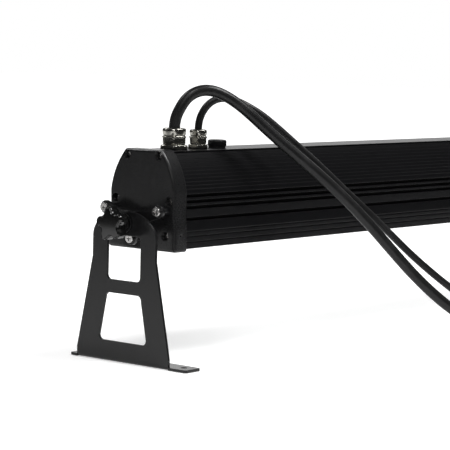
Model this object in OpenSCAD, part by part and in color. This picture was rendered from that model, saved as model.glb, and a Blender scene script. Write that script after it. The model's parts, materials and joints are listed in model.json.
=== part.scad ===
// Outdoor wall washer light: a finned aluminium bar on two slotted stands.
// The bar lies along X, its lens window faces the ground, Z is up.
// The origin is on the ground, midway between the stands, under the pivot axis.

/* [Bar] */
// Length over the two end caps
bar_len = 1000; // [800:10:1400]
// Height of the tilt axis above the ground
pivot_h = 145; // [135:1:190]
// Depth of the cap below the tilt axis
cap_below = 29; // [26:0.5:32]
// Height of the cap above the tilt axis
cap_above = 75; // [70:0.5:80]
// Width of the flat on top of the cap
top_w = 49.6; // [46:0.2:52]
// Width over the shoulders, where the curved flanks start
shoulder_w = 90; // [88:0.2:92]
// Height of the shoulders above the tilt axis
shoulder_z = 31; // [30:0.5:36]
// Radius of the curved flanks
flank_r = 80; // [70:1:110]
// Width over the waist, under the shoulders
waist_w = 88.4; // [87:0.2:90]
// Width over the skirt, at the bottom
skirt_w = 92.6; // [91:0.2:96]

/* [End caps] */
// Thickness of an end cap along the bar
cap_t = 19; // [16:0.5:24]
// Radius of the cap's outer edge
cap_edge_r = 3; // [1:0.5:4]
// Wall left round the cap's inner pocket
cap_wall = 5; // [4:0.5:6]
// Step from the cap's outline in to the bar's outline
cap_step = 1.5; // [1:0.1:2]
// How far the cap reaches below the bar
cap_lip = 2.8; // [1:0.1:3.2]
// Thickness of the flat gasket behind a cap
gasket_t = 1; // [0.5:0.1:1.5]
// Diameter of the cap screws' shanks
cap_screw_d = 4; // [3:0.1:4.5]
// Diameter of the counterbores for the cap screws
cap_bore_d = 9; // [8:0.1:9.6]
// Depth of those counterbores
cap_bore_depth = 9; // [6:0.5:11]
// Length of a cap screw under its head
cap_screw_len = 24; // [20:1:34]
// Diameter of the grub screws in the caps' sides
grub_d = 4; // [3:0.1:5]

/* [Fins] */
// Height of the plain skirt at the foot of each flank
skirt_h = 19.6; // [18:0.1:21]
// Height of the sloping face above the skirt
slope_h = 9.2; // [8:0.1:10]
// Height of the deep groove above the sloping face
deep_groove_h = 3.5; // [2.5:0.1:4]
// Height of the flat band above that groove
band_h = 8.4; // [7.5:0.1:9]
// Height of the gaps between the fins
fin_gap = 3.6; // [3:0.1:3.8]
// Thickness of a fin
fin_t = 2.4; // [2:0.1:2.6]
// Number of gaps between the fins
fin_gaps = 3; // [2:1:3]
// Depth of the gaps between the fins
fin_depth = 4; // [3:0.1:4.4]
// Number of fine lines on each curved flank
flank_lines = 10; // [6:1:12]
// Depth of the fine lines
line_depth = 0.3; // [0.2:0.1:0.6]
// Width of the fine lines
line_w = 0.8; // [0.6:0.1:1.2]
// Depth of the three lines along each skirt
skirt_line_depth = 0.9; // [0.4:0.1:1]
// Width of the lines along each skirt
skirt_line_w = 1.5; // [1:0.1:1.8]
// Wall of the bar behind its fins and flanks
bar_wall = 3.4; // [3:0.1:3.8]
// Thickness of the bar's top wall
roof_t = 3; // [2.5:0.1:4]

/* [Light window] */
// Thickness of the web that carries the light board
web_t = 5; // [4:0.5:6]
// Height of the web's underside below the tilt axis
web_below = 6; // [5:0.5:7]
// Thickness of the glass
glass_t = 4; // [3:0.5:5]
// Width of the glass
glass_w = 85.4; // [84.4:0.2:85.8]
// Thickness of the rubber strips that hold the glass
strip_t = 0.5; // [0.3:0.1:0.6]
// Lip that holds the glass in the bar
lip_t = 1.6; // [1.2:0.1:2]
// Distance between lenses
lens_pitch = 40; // [36:0.5:44]
// Diameter of a lens at its mouth
lens_d = 29; // [24:0.5:33]
// Air between the lenses and the glass
lens_air = 0.5; // [0.2:0.1:1]
// Thickness of the light board
board_t = 1.6; // [1:0.1:2]
// Width of the light board
board_w = 52; // [48:1:54]
// Side of a light emitter
emitter_w = 3.5; // [3:0.1:5]
// Number of screws along each edge of the light board
board_screw_count = 6; // [4:1:8]

/* [Electrics] */
// Length of the driver module
driver_len = 200; // [140:5:240]
// Width of the driver module
driver_w = 46; // [40:1:56]
// Height of the driver module
driver_h = 32; // [26:1:38]
// Length of the control board
control_len = 110; // [80:5:120]
// Width of the control board
control_w = 50; // [40:1:60]
// Height of the stand-offs under the control board
standoff_h = 6; // [4:0.5:10]

/* [Glands and vent] */
// Distance from the end of the bar to the mains gland
mains_gland_at = 49; // [46:1:52]
// Distance from the end of the bar to the data gland
data_gland_at = 88; // [85:1:92]
// Distance from the end of the bar to the vent plug
vent_at = 120; // [116:1:128]
// Width over the flats of the mains gland's base
mains_base_af = 28.4; // [27:0.2:30]
// Width over the flats of the mains gland's nut
mains_nut_af = 24; // [23:0.2:26]
// Height of the mains gland above the bar
mains_gland_h = 22.8; // [21:0.2:26]
// Diameter of the mains gland's thread
mains_thread_d = 20; // [18:0.5:21]
// Width over the flats of the data gland's base
data_base_af = 20.6; // [20:0.2:23]
// Width over the flats of the data gland's nut
data_nut_af = 17.8; // [17:0.2:20]
// Height of the data gland above the bar
data_gland_h = 20.6; // [19:0.2:24]
// Diameter of the data gland's thread
data_thread_d = 14; // [13:0.2:15]
// Diameter of the vent plug
vent_d = 20.4; // [18:0.2:22]
// Height of the vent plug above the bar
vent_h = 8.8; // [7:0.2:10]
// Turn of the glands' hexagons from the bar's line, in degrees
gland_turn = 39; // [0:1:60]

/* [Stands] */
// Distance from a cap to the outer face of its stand
stand_out = 26; // [25:0.5:30]
// Thickness of the stands' sheet
sheet_t = 3; // [2:0.5:4]
// Width of a stand at the tilt axis
stand_w = 87; // [84:0.5:90]
// Width of a stand at the ground
stand_foot_w = 127; // [122:1:132]
// Height of the arch above the tilt axis
arch_above = 13; // [12.6:0.2:16]
// Depth of the arch's spring line below the tilt axis
arch_spring = 15; // [12:0.5:18]
// Height above the ground where the stand's edges start to flare
flare_h = 108; // [100:1:112]
// Height above the ground where the flare ends
flare_end_h = 11; // [9:1:16]
// Height of the upper window's sill above the ground
window_sill_h = 85.5; // [83:0.5:88]
// Depth of the upper window's top below the tilt axis
window_drop = 13; // [12.4:0.2:15]
// Width of the upper window
window_w = 45.6; // [44:0.2:50]
// Height of the lower window's sill above the ground
low_sill_h = 21.5; // [20:0.5:24]
// Height of the lower window
low_window_h = 50; // [48:0.5:52]
// Width of the lower window at its top
low_top_w = 47; // [45:0.5:50]
// Width of the lower window at its sill
low_bottom_w = 67; // [60:0.5:70]
// Corner radius of the windows
window_r = 5; // [3:0.5:7]
// Depth of the foot, along the bar
foot_d = 24; // [20:0.5:26]
// Reach of the foot on its short side, from the tilt axis
foot_short = 73.5; // [72:0.5:78]
// Reach of the foot on its long side, from the tilt axis
foot_long = 87; // [84:0.5:92]
// Diameter of the foot's screw holes
foot_hole_d = 6.6; // [5.5:0.1:8]
// Distance from the foot's ends to its screw holes
foot_hole_in = 12.5; // [10:0.5:13]
// Radius of the foot's corners
foot_corner_r = 3; // [1:0.5:5]
// Outer radius of the bend above the foot
bend_r = 4; // [3.2:0.2:5]

/* [Pivots] */
// Diameter of the stud that the bar tilts on
stud_d = 8; // [6:0.5:10]
// Radial clearance between the stud and what turns on it
turn_gap = 0.08; // [0.02:0.01:0.1]
// Thickness of the three-armed pivot plate
plate_t = 4; // [3:0.5:5]
// Length of the spacers that hold the pivot plate off the cap
spacer_len = 12; // [10:0.5:14]
// Diameter of the spacers
spacer_d = 7; // [6.4:0.2:8]
// Diameter of the screws through the pivot plate
plate_screw_d = 5; // [4:0.1:5.4]
// Diameter of those screws' heads
plate_head_d = 9.6; // [8.5:0.1:10]
// Height of those screws' heads
plate_head_h = 3; // [2:0.1:3.4]
// Distance of the upper screws from the tilt axis, across the bar
arm_out = 36; // [34:0.5:37]
// Height of the upper screws above the tilt axis
arm_up = 13.5; // [13:0.5:15]
// Depth of the lower screw below the tilt axis
arm_down = 16.2; // [16.2:0.2:18]
// Radius of the pivot plate's arms at their ends
arm_r = 7; // [6:0.2:8]
// Diameter of the pivot plate's hub
hub_d = 22; // [20:0.5:22.4]
// Thickness of the friction washer
friction_t = 2; // [1:0.2:3]

/* [Knobs] */
// Diameter of a knob over its lobes
knob_d = 35.4; // [34:0.2:42]
// Number of lobes
knob_lobes = 5; // [4:1:6]
// Radius of a lobe
lobe_r = 5; // [4.4:0.2:6]
// Length of a knob's lobed head along its axis
knob_head_len = 13; // [10:0.5:16]
// Length of a knob's hub
knob_hub_len = 9.4; // [8:0.2:12]
// Diameter of a knob's hub
knob_hub_d = 17.4; // [16.6:0.2:21]
// Radius of the knob head's edges
knob_edge_r = 1.6; // [0.8:0.2:2.4]
// Thickness of the washer under a knob
knob_washer_t = 1.6; // [1:0.1:2]
// Diameter of that washer
knob_washer_d = 20; // [18:0.5:24]
// Turn of the knobs from upright, in degrees
knob_turn = -9; // [-20:1:20]

/* [Leads] */
// Diameter of the mains lead
mains_d = 12; // [10:0.1:12]
// Diameter of the data lead
data_d = 8; // [6:0.1:8]
// Loops in the mains lead's stored coil
coil_loops = 2; // [2:1:4]
// Radius of the coil's outer loop
coil_r = 77; // [70:1:100]
// Distance between neighbouring loops
coil_step = 14.5; // [14.5:0.1:16]
// Thickness of the coil's tie
tie_t = 1.2; // [0.8:0.1:1.4]
// Width of the coil's tie
tie_w = 14; // [10:0.5:20]
// Diameter of the mains plug
plug_d = 38; // [36:0.5:38]
// Length of the mains plug's body
plug_len = 30; // [26:1:40]
// Diameter of the plug's pins
pin_d = 4.8; // [4:0.1:5]
// Length of the plug's pins
pin_len = 19; // [15:0.5:20]
// Distance between the plug's pins
pin_gap = 19; // [17:0.5:22]
// Length of the plug's strain relief
relief_len = 34; // [24:1:50]
// Diameter of the data connector
connector_d = 20; // [18:0.5:20]
// Length of the data connector's body
connector_len = 34; // [26:1:44]

/* [Hidden] */

// How far a cut runs past the face that it opens
overrun = 1;
// How far a rounded corner laps the straight or hollow edge beside it
arc_lap = 0.02;
// Sides of a round that OpenSCAD draws
round_fn = 64;
// Radial clearance of a screw in its threaded hole
thread_gap = 0.05;
// Radial clearance of a screw in its through hole
screw_gap = 0.25;
// Clearance between a soft piece and its seat
soft_gap = 0.1;

// Colours of the finishes
black_cast = [0.13, 0.13, 0.14];
black_anodised = [0.1, 0.1, 0.11];
black_sheet = [0.2, 0.2, 0.21];
black_rubber = [0.07, 0.07, 0.07];
black_plastic = [0.05, 0.05, 0.05];
bright_steel = [0.75, 0.75, 0.76];
nickel = [0.5, 0.5, 0.46];
brass_metal = [0.8, 0.65, 0.3];
clear_glass = [0.8, 0.9, 0.92];
clear_lens = [0.9, 0.93, 0.95];
board_green = [0.1, 0.35, 0.2];
board_white = [0.9, 0.9, 0.88];
emitter_yellow = [0.95, 0.85, 0.4];
driver_grey = [0.55, 0.56, 0.58];

// The cap's outline, as half widths at heights from the tilt axis
cap_top_z = cap_above;
cap_bottom_z = -cap_below;
half_top = top_w / 2;
half_shoulder = shoulder_w / 2;
half_waist = waist_w / 2;
half_skirt = skirt_w / 2;
waist_drop = 21;
skirt_drop = 34;
corner_cut = 1.6;
flank_points = 9;
flank_mid = [(half_top + half_shoulder) / 2, (cap_top_z + shoulder_z) / 2];
flank_run = [half_top - half_shoulder, cap_top_z - shoulder_z];
flank_half = norm(flank_run) / 2;
flank_back = sqrt(flank_r * flank_r - flank_half * flank_half);
flank_dir = [flank_run.y, -flank_run.x] / norm(flank_run);
flank_c = flank_mid - flank_back * flank_dir;

// Half width of a flank that is set in from the cap's outline, at height z
function flank_y(z, inset) =
    flank_c.x + sqrt(pow(flank_r - inset, 2) - pow(z - flank_c.y, 2));

// One flank of the cap, from the bottom up
function cap_side(inset) = concat(
    [
        [half_skirt - inset - corner_cut, cap_bottom_z + inset],
        [half_skirt - inset, cap_bottom_z + inset + corner_cut],
        [half_skirt - inset, shoulder_z - skirt_drop],
        [half_waist - inset, shoulder_z - waist_drop]
    ],
    [
        for (i = [0:flank_points])
        let (z = shoulder_z + (cap_top_z - inset - corner_cut - shoulder_z) * i / flank_points)
        [flank_y(z, inset), z]
    ],
    [[flank_y(cap_top_z - inset - corner_cut, inset) - corner_cut, cap_top_z - inset]]
);

// A closed outline from one flank and its mirror image
function both_sides(side) = concat(
    side,
    [for (i = [len(side) - 1:-1:0]) [-side[i].x, side[i].y]]
);

// The bar's own outline
bar_inset = cap_step;
bar_top_z = cap_top_z - bar_inset;
bar_bottom_z = cap_bottom_z + cap_lip;
half_bar_skirt = half_skirt - bar_inset;
skirt_top_z = bar_bottom_z + skirt_h;
slope_top_z = skirt_top_z + slope_h;
half_fin = half_waist - bar_inset / 2;
band_bottom_z = slope_top_z + deep_groove_h;
band_top_z = band_bottom_z + band_h;
fin_pitch = fin_gap + fin_t;
fins_top_z = band_top_z + fin_gaps * fin_pitch;
groove_y = half_fin - fin_depth;
edge_lip = 0.9;
edge_notch_h = 1.1;
edge_notch_depth = 1.4;
skirt_line_shares = [0.35, 0.65, 0.89];
flank_low_z = max(fins_top_z, shoulder_z) + line_w;
flank_high_z = bar_top_z - edge_lip - edge_notch_h - line_w;
line_pitch = (flank_high_z - flank_low_z) / flank_lines;

// A shallow line cut into a face at half width y, centred on height z
function skirt_line(y, z) = [
    [y, z - skirt_line_w / 2],
    [y - skirt_line_depth, z - skirt_line_w / 4],
    [y - skirt_line_depth, z + skirt_line_w / 4],
    [y, z + skirt_line_w / 2]
];
function flank_line(z) = [
    [flank_y(z - line_w / 2, bar_inset), z - line_w / 2],
    [flank_y(z - line_w / 4, bar_inset + line_depth), z - line_w / 4],
    [flank_y(z + line_w / 4, bar_inset + line_depth), z + line_w / 4],
    [flank_y(z + line_w / 2, bar_inset), z + line_w / 2]
];
function fin_gap_at(z) = [
    [half_fin, z],
    [groove_y, z],
    [groove_y, z + fin_gap],
    [half_fin, z + fin_gap]
];
bar_side = concat(
    [[half_bar_skirt, bar_bottom_z]],
    [for (share = skirt_line_shares) each skirt_line(half_bar_skirt, bar_bottom_z + share * skirt_h)],
    [
        [half_bar_skirt, skirt_top_z],
        [half_fin, slope_top_z],
        [groove_y, slope_top_z],
        [groove_y, band_bottom_z],
        [half_fin, band_bottom_z]
    ],
    [for (i = [0:fin_gaps - 1]) each fin_gap_at(band_top_z + i * fin_pitch)],
    [
        [half_fin, fins_top_z - fin_t / 2],
        [flank_y(flank_low_z - line_w, bar_inset), flank_low_z - line_w / 2]
    ],
    [for (i = [0:flank_lines - 1]) each flank_line(flank_low_z + (i + 1 / 2) * line_pitch)],
    [
        [flank_y(flank_high_z + line_w, bar_inset), flank_high_z + line_w],
        [flank_y(flank_high_z + line_w, bar_inset) - edge_notch_depth, flank_high_z + line_w],
        [flank_y(bar_top_z - edge_lip, bar_inset) - edge_notch_depth, bar_top_z - edge_lip],
        [flank_y(bar_top_z - edge_lip, bar_inset), bar_top_z - edge_lip],
        [flank_y(bar_top_z - edge_lip, bar_inset), bar_top_z]
    ]
);

// The bar between the caps
bar_body_len = bar_len - 2 * (cap_t + gasket_t);
bar_body_x = -bar_body_len / 2;

// Ports for the cap screws, as [half distance across, height] from the tilt axis
port_r = cap_screw_d / 2 + thread_gap;
port_wall = 2.1;
port_boss_r = port_r + port_wall;
top_port_in = 3.2;
top_port_down = 6;
mid_port_down = 8;
low_port_in = 13.8;
low_port_up = 16.4;
top_port = [half_top - top_port_in, cap_top_z - top_port_down];
mid_port = [groove_y - port_r - edge_lip, shoulder_z - mid_port_down];
low_port = [half_skirt - low_port_in, cap_bottom_z + low_port_up];
ports = [top_port, mid_port, low_port];

// Chambers of the bar
web_bottom_z = -web_below;
web_top_z = web_bottom_z + web_t;
roof_z = bar_top_z - roof_t;
half_chamber = groove_y - bar_wall;
half_window = half_bar_skirt - bar_wall;
chamber_points = 6;
chamber_top_y = flank_y(roof_z, bar_inset + bar_wall);

// Glass in its grooves
glass_bottom_z = bar_bottom_z + lip_t + strip_t;
glass_top_z = glass_bottom_z + glass_t;
groove_half = glass_w / 2 + strip_t;
lip_half = glass_w / 2 - 2 * lip_t;
strip_depth = 2 * lip_t;

// The light board and its lenses, as many as the bar has room for
board_z = web_bottom_z - board_t;
board_margin = 2;
lens_room = bar_body_len - 2 * (board_margin + lip_t) - lens_d;
lens_count = floor(lens_room / lens_pitch) + 1;
lens_h = board_z - glass_top_z - lens_air;
board_len = (lens_count - 1) * lens_pitch + lens_d + 2 * board_margin;
board_screw_d = 3;
board_screw_in = 3.6;
board_head_r = 2.8;
board_head_h = 1.8;
board_screw_depth = 3;
board_screw_pitch = lens_pitch * floor((lens_count - 2) / (board_screw_count - 1));
emitter_h = 1.6;
lens_throat_r = 6.5;
lens_rim_h = 1.4;
lens_cup_r = 4;
lens_cup_gap = 1;
lens_cup_h = emitter_h + lens_cup_gap;
lens_dish_r = lens_d / 5;

// Electrics in the upper chamber
driver_x = 60;
driver_tab = 10;
driver_tab_t = 2;
driver_edge = 2;
control_x = -bar_len / 5;
control_t = 1.6;
standoff_r = 3;
standoff_in = 5;
terminal_len = 30;
terminal_w = 12;
terminal_h = 13;
terminal_slot = 3.4;
terminal_ways = 6;

// Glands: a washer, a base and a nut with a wide rim halfway up
washer_t = 1;
gland_base_h = 4;
gland_neck_h = 0.8;
gland_rim_h = 1.8;
gland_rim_out = 0.8;
gland_groove = 1;
nut_rim_share = 0.5;
neck_in = 3;
gland_dome_r = 2.6;
gland_wall = 2.2;
mouth_gap = 0.4;
gland_below = 10;
locknut_t = 5;
locknut_over = 4;
seal_h = 5;
seal_in = 2.5;
neck_up = 3.6;
neck_play = 0.2;
mains_gland_x = -bar_len / 2 + mains_gland_at;
data_gland_x = -bar_len / 2 + data_gland_at;
vent_x = -bar_len / 2 + vent_at;
vent_thread_d = 12;
vent_seal_t = 1.5;
vent_edge = 1;
bar_top = pivot_h + bar_top_z;

// Stand and foot
stand_x = -stand_out;
half_stand = stand_w / 2;
half_foot_w = stand_foot_w / 2;
foot_edge_r = bend_r;
foot_hole_x = stand_x + foot_d / 2;

// Pivot plate, stud, washers and knob, as distances out from the cap
plate_x = -(spacer_len + plate_t);
hub_len = stand_out - sheet_t - spacer_len - plate_t - friction_t;
upper_arm = [arm_out, arm_up];
lower_arm = [0, -arm_down];
arms = [[-arm_out, arm_up], lower_arm, upper_arm];
top_dip = -2;
side_dip = 1;
stud_head_d = 2 * stud_d;
stud_head_t = 3.5;
knob_back_x = stand_x - knob_washer_t;
knob_face_x = knob_back_x - knob_hub_len - knob_head_len;
insert_wall = 2;
insert_len = knob_hub_len + knob_head_len / 2;
stud_short = 1.5;
stud_end_x = knob_back_x - insert_len + stud_short;
knob_bore_gap = 1;
valley_share = 0.96;
hub_flare = 1;
lobe_at = knob_d / 2 - lobe_r;
plate_screw_depth = 10;

// The mains lead's route, from inside its gland to the ground beside the bar
mains_route = [
    [-451, 0, 208], [-451, 0, 226], [-451, 0, 241], [-449.5, -1, 251.5], [-446, -4, 261],
    [-441, -7.5, 269.5], [-434, -12.5, 275.5], [-425.5, -18.5, 278.4], [-417, -25, 277.4],
    [-408.5, -31, 274], [-400, -37, 268.7], [-388, -46, 259], [-376.5, -54, 248],
    [-355.5, -69.5, 226.5], [-334, -85.5, 205.5], [-312.5, -101, 184], [-292, -116, 161.5],
    [-272, -130, 137.5], [-253, -143.5, 113], [-234, -157.5, 88.5], [-214.5, -173, 65.5],
    [-192.5, -188.5, 45], [-167.5, -204, 28], [-137, -218, 15.5], [-110, -226, 9.5],
    [-80, -231, 7.5], [-56, -232, 7.5], [-50, -232, 7.5]
];
// The data lead's route, from inside its gland to its connector
data_route = [
    [-412, 0, 208], [-412, 0, 226], [-412, 0, 239], [-411, -0.6, 249], [-408, -3, 258.5],
    [-403, -7, 266.5], [-395.5, -12.5, 271.5], [-386.5, -19.5, 272], [-377.5, -26, 269],
    [-369.5, -32, 264.5], [-357, -41.5, 255.5], [-345.5, -50, 245], [-325, -66, 223.5],
    [-304, -81.5, 201.5], [-283.5, -96.5, 179], [-263, -112, 156.5], [-243, -127.5, 134],
    [-223, -142.5, 111], [-202.5, -158.5, 89], [-180.5, -174.5, 68.5], [-156.5, -189.5, 50],
    [-129, -201, 33], [-102, -206, 19], [-77, -207, 11.5], [-56, -207, 10],
    [-50, -207, 10]
];
tube_sides = 10;
lead_side_way = [0.6, 0.8, 0];
coil_sides = 6;
coil_rings = 24;
coil_start = mains_route[len(mains_route) - 1];
coil_lead_in = 165;
coil_c = [coil_start.x + coil_lead_in, coil_start.y + coil_r];
layer_gap = 0.9;
coil_rise = mains_d + layer_gap;
coil_tail = 60;
climb_turns = 1 / 2;
turns_in = (coil_loops - climb_turns) / 2;
plug_x = coil_c.x + coil_tail;
plug_y = coil_start.y;
plug_z = plug_d / 2;
connector_at = data_route[len(data_route) - 1];
relief_ribs = 4;
rib_depth = 1;
tie_gap = 0.3;
tie_turn = 1 / 2;
data_relief_len = relief_len * 2 / 3;
ring_wall = 2;
face_edge = 1;
contact_count = 3;
contact_len = 12;
contact_d = 3;

// A ring of points round a path's point i, square to its run there
function unit(v) = v / norm(v);
function run_at(path, i) = unit(path[min(i + 1, len(path) - 1)] - path[max(i - 1, 0)]);
function ring_at(path, i, radius, sides, side_way) =
    let (
        run = run_at(path, i),
        up = unit(cross(run, side_way)),
        across = cross(up, run)
    )
    [
        for (k = [0:sides - 1])
        let (a = 360 * k / sides)
        path[i] + radius * (cos(a) * across + sin(a) * up)
    ];

// A tube of one run along a path, closed at both ends
module tube(path, radius, sides, side_way) {
    rings = len(path);
    points = [for (i = [0:rings - 1]) each ring_at(path, i, radius, sides, side_way)];
    walls = [
        for (i = [0:rings - 2])
        for (k = [0:sides - 1])
        let (a = i * sides + k, b = i * sides + (k + 1) % sides)
        each [[a, b, b + sides], [a, b + sides, a + sides]]
    ];
    near_end = [for (k = [1:sides - 2]) [0, k + 1, k]];
    last = (rings - 1) * sides;
    far_end = [for (k = [1:sides - 2]) [last, last + k, last + k + 1]];
    polyhedron(points = points, faces = concat(walls, near_end, far_end));
}

// The coil's middle line: a spiral in, a climb, and a spiral out on top
function coil_radius(t) =
    t < turns_in ? coil_r - coil_step * t
    : t < turns_in + climb_turns ? coil_r - coil_step * turns_in
    : coil_r - coil_step * (coil_loops - t);
function coil_height(t) =
    let (u = min(max((t - turns_in) / climb_turns, 0), 1))
    coil_start.z + coil_rise * u;
function coil_point(t) = [
    coil_c.x + coil_radius(t) * sin(360 * t),
    coil_c.y - coil_radius(t) * cos(360 * t),
    coil_height(t)
];
coil_path = concat(
    [coil_start, coil_start + [mains_d, 0, 0]],
    [for (i = [0:coil_loops * coil_rings]) coil_point(i / coil_rings)],
    [[plug_x - mains_d, plug_y, plug_z], [plug_x, plug_y, plug_z]]
);

// Least gap between runs of the coil that are more than half a loop apart
coil_gap = min([
    for (i = [0:len(coil_path) - 1])
    for (j = [i + 1:1:len(coil_path) - 1])
    if (j - i > coil_rings / 2) norm(coil_path[i] - coil_path[j])
]) - mains_d;
echo(coil_gap = coil_gap);  // mains_coil

// Places a child on the left or right end of the bar, at the tilt axis
module on_left() {
    translate([-bar_len / 2, 0, pivot_h]) children();
}
module on_right() {
    rotate([0, 0, 180]) on_left() children();
}
module at_axis() {
    translate([0, 0, pivot_h]) children();
}
// Draws a flat outline's sheet, or a round bar, from x0 towards +X
module along_x(x0, length) {
    translate([x0, 0, 0]) rotate([90, 0, 90]) linear_extrude(length) children();
}
module rod_x(x0, length, radius) {
    translate([x0, 0, 0]) rotate([0, 90, 0]) cylinder(h = length, r = radius, $fn = round_fn);
}
module both_flanks() {
    children();
    mirror([0, 1, 0]) children();
}
// A ring of one radius inside another, standing on z
module ring_z(z, height, outer, inner) {
    translate([0, 0, z]) difference() {
        cylinder(h = height, r = outer, $fn = round_fn);
        translate([0, 0, -overrun]) cylinder(h = height + 2 * overrun, r = inner, $fn = round_fn);
    }
}
module ring_x(x0, length, outer, inner) {
    difference() {
        rod_x(x0, length, outer);
        rod_x(x0 - overrun, length + 2 * overrun, inner);
    }
}

// Circles at the six cap screws
module at_ports() {
    for (port = ports)
    for (side = [-1, 1])
        translate([side * port.x, port.y]) children();
}

// The bar: one extrusion with fins, two chambers and grooves for the glass
module bar_section() {
    difference() {
        polygon(both_sides(bar_side));
        difference() {
            polygon(both_sides(concat(
                [[half_chamber, web_top_z], [half_chamber, fins_top_z]],
                [
                    for (i = [1:chamber_points])
                    let (z = fins_top_z + (roof_z - fins_top_z) * i / chamber_points)
                    [flank_y(z, bar_inset + bar_wall), z]
                ]
            )));
            for (side = [-1, 1]) {
                translate([side * top_port.x, top_port.y]) circle(r = port_boss_r, $fn = round_fn);
                translate([side * mid_port.x, mid_port.y]) circle(r = port_boss_r, $fn = round_fn);
            }
        }
        difference() {
            translate([-half_window, glass_top_z]) square([2 * half_window, web_bottom_z - glass_top_z]);
            for (side = [-1, 1])
                translate([side * low_port.x, low_port.y]) {
                    circle(r = port_boss_r, $fn = round_fn);
                    translate([-port_boss_r, 0]) square([2 * port_boss_r, web_bottom_z - low_port.y]);
                    translate([side > 0 ? 0 : low_port.x - half_window, 0])
                        square([half_window - low_port.x, web_bottom_z - low_port.y]);
                }
        }
        translate([-groove_half, glass_bottom_z - strip_t])
            square([2 * groove_half, glass_t + 2 * strip_t]);
        translate([-lip_half, bar_bottom_z - overrun]) square([2 * lip_half, lip_t + 2 * overrun]);
        at_ports() circle(r = port_r, $fn = round_fn);
    }
}
module housing_extrusion() {
    color(black_anodised) at_axis() difference() {
        along_x(bar_body_x, bar_body_len) bar_section();
        translate([mains_gland_x, 0, roof_z - overrun])
            cylinder(h = roof_t + 2 * overrun, r = mains_thread_d / 2 + thread_gap, $fn = round_fn);
        translate([data_gland_x, 0, roof_z - overrun])
            cylinder(h = roof_t + 2 * overrun, r = data_thread_d / 2 + thread_gap, $fn = round_fn);
        translate([vent_x, 0, roof_z - overrun])
            cylinder(h = roof_t + 2 * overrun, r = vent_thread_d / 2 + thread_gap, $fn = round_fn);
        at_board_screws() translate([0, 0, -overrun])
            cylinder(h = board_screw_depth + overrun, r = board_screw_d / 2 + thread_gap, $fn = round_fn);
    }
}

// A cast end cap: rounded outer edge, six counterbores, three bosses, hollow inside
module cap_shell() {
    steps = 3;
    sections = [
        for (i = [0:steps])
        let (a = 90 * i / steps)
        [cap_edge_r * (1 - cos(a)), cap_edge_r * (1 - sin(a))],
        [cap_t, 0]
    ];
    last = len(sections) - 1;
    count = len(both_sides(cap_side(0)));
    points = [
        for (s = sections)
        for (p = both_sides(cap_side(s[1])))
        [s[0], p.x, p.y]
    ];
    walls = [
        for (i = [0:last - 1])
        for (k = [0:count - 1])
        let (a = i * count + k, b = i * count + (k + 1) % count)
        each [[a, b + count, b], [a, a + count, b + count]]
    ];
    outer = [for (k = [0:count - 1]) k];
    inner = [for (k = [count - 1:-1:0]) last * count + k];
    polyhedron(points = points, faces = concat(walls, [outer], [inner]));
}
module cap_pocket() {
    difference() {
        polygon(both_sides(cap_side(cap_wall)));
        at_ports() circle(d = cap_bore_d + 2 * port_wall, $fn = round_fn);
        for (arm = arms)
            translate(arm) circle(r = plate_screw_d / 2 + cap_wall, $fn = round_fn);
    }
}
module end_cap() {
    color(black_cast) difference() {
        cap_shell();
        along_x(cap_wall, cap_t) cap_pocket();
        for (port = ports)
        for (side = [-1, 1])
            translate([0, side * port.x, port.y]) {
                rod_x(-overrun, cap_bore_depth + overrun, cap_bore_d / 2);
                rod_x(-overrun, cap_t + 2 * overrun, cap_screw_d / 2 + screw_gap);
            }
        for (arm = arms)
            translate([0, arm.x, arm.y])
                rod_x(-overrun, plate_screw_depth + 2 * overrun, plate_screw_d / 2 + thread_gap);
        both_flanks() translate([cap_t / 2, half_skirt - cap_wall, low_port.y])
            rotate([-90, 0, 0])
                cylinder(h = cap_wall + overrun, r = grub_d / 2 + thread_gap, $fn = round_fn);
    }
}
module cap_gasket() {
    color(black_rubber) along_x(cap_t, gasket_t) difference() {
        polygon(both_sides(cap_side(bar_inset + gasket_t)));
        at_ports() circle(r = cap_screw_d / 2 + screw_gap, $fn = round_fn);
    }
}
module cap_screws() {
    head_d = cap_screw_d * 7 / 4;
    head_h = cap_screw_d;
    socket_d = cap_screw_d * 3 / 4;
    color(bright_steel)
        for (port = ports)
        for (side = [-1, 1])
            translate([0, side * port.x, port.y]) difference() {
                union() {
                    rod_x(cap_bore_depth - head_h, head_h, head_d / 2);
                    rod_x(cap_bore_depth - overrun, cap_screw_len + overrun, cap_screw_d / 2);
                }
                translate([cap_bore_depth - head_h - overrun, 0, 0]) rotate([0, 90, 0])
                    cylinder(h = head_h / 2 + overrun, d = socket_d, $fn = 6);
            }
}
module grub_screws() {
    socket_d = grub_d / 2;
    color(black_sheet) both_flanks()
        translate([cap_t / 2, half_skirt - cap_wall, low_port.y]) rotate([-90, 0, 0]) difference() {
            cylinder(h = cap_wall - line_depth, r = grub_d / 2, $fn = round_fn);
            translate([0, 0, cap_wall - socket_d]) cylinder(h = socket_d, d = socket_d, $fn = 6);
        }
}

// The glass and the rubber strips along its long edges
module front_glass() {
    color(clear_glass) at_axis() translate([bar_body_x, -glass_w / 2, glass_bottom_z])
        cube([bar_body_len, glass_w, glass_t]);
}
module glass_strips() {
    color(black_rubber) at_axis() along_x(bar_body_x, bar_body_len) for (side = [-1, 1])
        scale([side, 1]) difference() {
            translate([groove_half - strip_depth - strip_t, glass_bottom_z - strip_t])
                square([strip_depth + strip_t, glass_t + 2 * strip_t]);
            translate([0, glass_bottom_z]) square([glass_w / 2, glass_t]);
        }
}

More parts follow.
